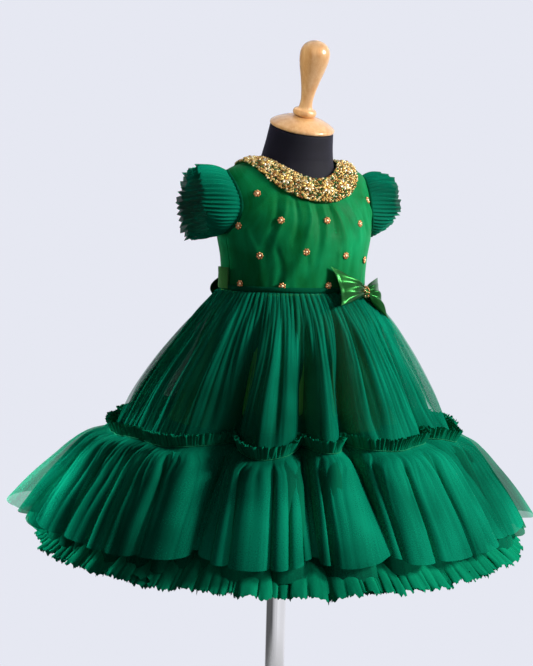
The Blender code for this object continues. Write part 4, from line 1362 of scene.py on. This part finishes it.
def scatter_tree(finish):
    """Beads sewn close together over a surface."""
    tree, inside, outside = bead_tree("bead_scatter",
                                      {"Bead size": "Float", "Bead gap": "Float", "Seed": "Int"})
    spread = add_node(tree, "GeometryNodeDistributePointsOnFaces",
                      {"Mesh": inside["Places"], "Distance Min": inside["Bead gap"],
                       "Density Max": 400000.0, "Seed": inside["Seed"]}, distribute_method="POISSON")
    size = add_node(tree, "ShaderNodeCombineXYZ", {0: random_between(tree, 0.75, 1.25, 3),
                                                   1: random_between(tree, 0.75, 1.25, 4),
                                                   2: random_between(tree, 0.55, 1.0, 5)})
    beads = sewn(tree, spread.outputs["Points"], bead(tree, inside["Bead size"], 1),
                 spread.outputs["Rotation"], size.outputs[0])
    finish_beads(tree, with_tone(tree, beads, random_between(tree, 0.0, 1.0, 6)), finish, outside)
    return tree


def cluster_tree(finish, petal_shape, low, high, middle):
    """A ring of beads with tones from low to high round a middle one, on points that face outwards."""
    tree, inside, outside = bead_tree("bead_cluster", {"Petals": "Int", "Ring radius": "Float",
                                                       "Petal size": "Float", "Middle size": "Float"})
    ring = add_node(tree, "GeometryNodeMeshCircle", {"Vertices": inside["Petals"],
                                                     "Radius": inside["Ring radius"]})
    outward = facing_along(tree, add_node(tree, "GeometryNodeInputPosition").outputs[0], "X")
    petals = sewn(tree, ring.outputs[0], bead(tree, inside["Petal size"], 2), outward, petal_shape)
    held = add_node(tree, "GeometryNodeGeometryToInstance",
                    {"Geometry": bead(tree, inside["Middle size"], 2)})
    both = add_node(tree, "GeometryNodeJoinGeometry")
    tree.links.new(with_tone(tree, petals, random_between(tree, low, high, 8)), both.inputs[0])
    tree.links.new(with_tone(tree, held.outputs[0], middle), both.inputs[0])
    whole = add_node(tree, "GeometryNodeRealizeInstances", {"Geometry": both.outputs[0]})
    facing = add_node(tree, "GeometryNodeInputNamedAttribute", {"Name": "facing"}, data_type="FLOAT_VECTOR")
    upright = facing_along(tree, facing.outputs[0], "Z")
    finish_beads(tree, sewn(tree, inside["Places"], whole.outputs[0], upright), finish, outside)
    return tree


def bead_piece(name, mesh, tree, values, finish, replaces=()):
    """The beads of a tree on a mesh, baked to a plain mesh."""
    host = add_object(name + "_places", mesh)
    added = host.modifiers.new("beads", "NODES")
    added.node_group = tree
    for item in tree.interface.items_tree:
        if item.in_out == "INPUT" and item.name in values:
            added[item.identifier] = values[item.name]
    graph = bpy.context.evaluated_depsgraph_get()
    made = bpy.data.meshes.new_from_object(host.evaluated_get(graph))
    host.modifiers.clear()
    bpy.data.objects.remove(host)
    made.name = name
    add_piece(name, made, finish, replaces)


def place_mesh(name, points, along, across, out):
    """Points moved out along the normal of two directions, each with that normal as its facing."""
    facing = unit(np.cross(along, across))
    mesh = bpy.data.meshes.new(name)
    mesh.from_pydata((points + facing * out).tolist(), [], [])
    mesh.attributes.new("facing", "FLOAT_VECTOR", "POINT").data.foreach_set("vector", facing.ravel())
    return mesh


def band_grid(rows, columns, lift):
    """The beaded band's outer face from the neckline out."""
    turns = np.linspace(-math.pi, math.pi, columns, endpoint=False)[None, :]
    share = np.linspace(0, 1, rows)[:, None]
    points = around_neck(turns, share)
    crown = np.sin(math.pi * share) ** 0.5
    rise = lift + 0.0014 * crown * (1 + 0.15 * np.sin(23 * turns) * np.sin(5 * share))
    return points + normals_of(points, True) * rise[..., None]


def make_neck_band():
    upper = grid_mesh("band_places", band_grid(30, 360, 0.0036), True)
    bead_piece("neck_band_beads", upper, scatter_tree("band beads"),
               {"Bead size": 0.00145, "Bead gap": 0.0019, "Seed": 4}, "band beads")
    turns = np.radians(np.arange(ROSETTES) * 360 / ROSETTES + 8)
    share = np.where(np.arange(ROSETTES) % 2, 0.62, 0.50)
    mesh = place_mesh("rosette_places", around_neck(turns, share),
                      around_neck(turns, share + 0.02) - around_neck(turns, share - 0.02),
                      around_neck(turns + 0.02, share) - around_neck(turns - 0.02, share), 0.0058)
    bead_piece("neck_rosettes", mesh, cluster_tree("pearl gold", (1.5, 0.8, 0.7), 0.0, 0.75, 0.8),
               {"Petals": 8, "Ring radius": 0.0056, "Petal size": 0.0022, "Middle size": 0.0027},
               "pearl gold")
    add_sheet("neck_band_base", band_grid(14, 240, 0.0030), True, "band cloth",
              ("neck_band",), wall=0.0024)


def make_motifs():
    degrees, height = np.array(MOTIFS).T
    angle = np.radians(degrees)
    mesh = place_mesh("motif_places", body_points(angle, height),
                      body_points(angle + 0.02, height) - body_points(angle - 0.02, height),
                      body_points(angle, height + 0.002) - body_points(angle, height - 0.002), 0.0012)
    nodes = ["bead_stud_%02d" % (k + 1) for k in range(len(MOTIFS))]
    bead_piece("bodice_motifs", mesh, cluster_tree("rose gold", (1, 1, 0.8), 0.0, 0.45, 0.6),
               {"Petals": 7, "Ring radius": 0.0033, "Petal size": 0.0016, "Middle size": 0.0021},
               "rose gold", nodes)
    knot = knot_mesh("knot_places", FRONT_BOW, *FRONT_KNOT_BEADS)
    bead_piece("front_knot_beads", knot, scatter_tree("rose gold"),
               {"Bead size": 0.0013, "Bead gap": 0.0020, "Seed": 9}, "rose gold")


# Studio

def studio_strength(tree, source, low, high):
    """Even where the camera looks, brighter from its right for the cloth, banded for reflections."""
    to_right = (math.cos(PHOTO_AZIMUTH), math.sin(PHOTO_AZIMUTH), 0.25)
    side = add_node(tree, "ShaderNodeVectorMath", {0: source, 1: to_right},
                    operation="DOT_PRODUCT").outputs["Value"]
    bands = add_node(tree, "ShaderNodeValToRGB", {"Fac": stretch(tree, side, -1.0, 1.0)})
    set_stops(bands.color_ramp, [(place, (grey, grey, grey, 1)) for place, grey in REFLECTIONS])
    path = add_node(tree, "ShaderNodeLightPath").outputs
    soft = stretch(tree, side, -0.9, 0.9, low, high)
    shine = mixed(tree, path["Is Glossy Ray"], soft, bands.outputs["Color"])
    return mixed(tree, path["Is Camera Ray"], shine, 1.0)


def make_sky():
    world = bpy.data.worlds.new("studio")
    bpy.context.scene.world = world
    world.use_nodes = True
    tree = world.node_tree
    around = add_node(tree, "ShaderNodeTexCoord").outputs["Generated"]
    fill_inputs(tree, tree.nodes["Background"], {"Color": linear(BACKDROP),
                                                 "Strength": studio_strength(tree, around, 0.02, 0.17)})


def make_floor():
    """A paper sweep that takes the stand's shadow and runs into the sky's own colour."""
    mesh = bpy.data.meshes.new("floor")
    edge = ring_points(FLOOR_RADIUS, full_turn(96) + TURN / 4, 0.0)
    mesh.from_pydata(edge.tolist(), [], [tuple(range(96))])
    made, tree, shader = new_material("pale paper sweep")
    place = coordinates(tree)[1]
    reach = add_node(tree, "ShaderNodeVectorMath", {0: place}, operation="LENGTH").outputs["Value"]
    aside = add_node(tree, "ShaderNodeVectorMath", {0: place}, operation="NORMALIZE").outputs["Vector"]
    fill_inputs(tree, shader, {"Base Color": linear("d9dae2"), "Roughness": 0.9})
    glow = add_node(tree, "ShaderNodeEmission", {"Color": linear(BACKDROP),
                                                 "Strength": studio_strength(tree, aside, 0.08, 0.21)})
    far = stretch(tree, reach, 0.16, 0.46, kind="SMOOTHSTEP")
    both = add_node(tree, "ShaderNodeMixShader", {0: far, 1: shader.outputs[0], 2: glow.outputs[0]})
    tree.links.new(both.outputs[0], tree.nodes["Material Output"].inputs["Surface"])
    mesh.materials.append(made)
    add_object("floor", mesh)


def make_studio():
    make_sky()
    make_floor()
    for light in LIGHTS:
        add_light(*light)
    bpy.context.scene.view_settings.view_transform = "Standard"
    bpy.context.scene.cycles.transparent_max_bounces = 20


make_form()
make_stand()
make_lining()
make_underskirt()
make_upper_skirt()
make_flounce()
make_bodice()
make_waist_fold()
make_neck_band()
make_motifs()
make_sleeves()
make_bows()
make_sash()
make_camera()
make_studio()
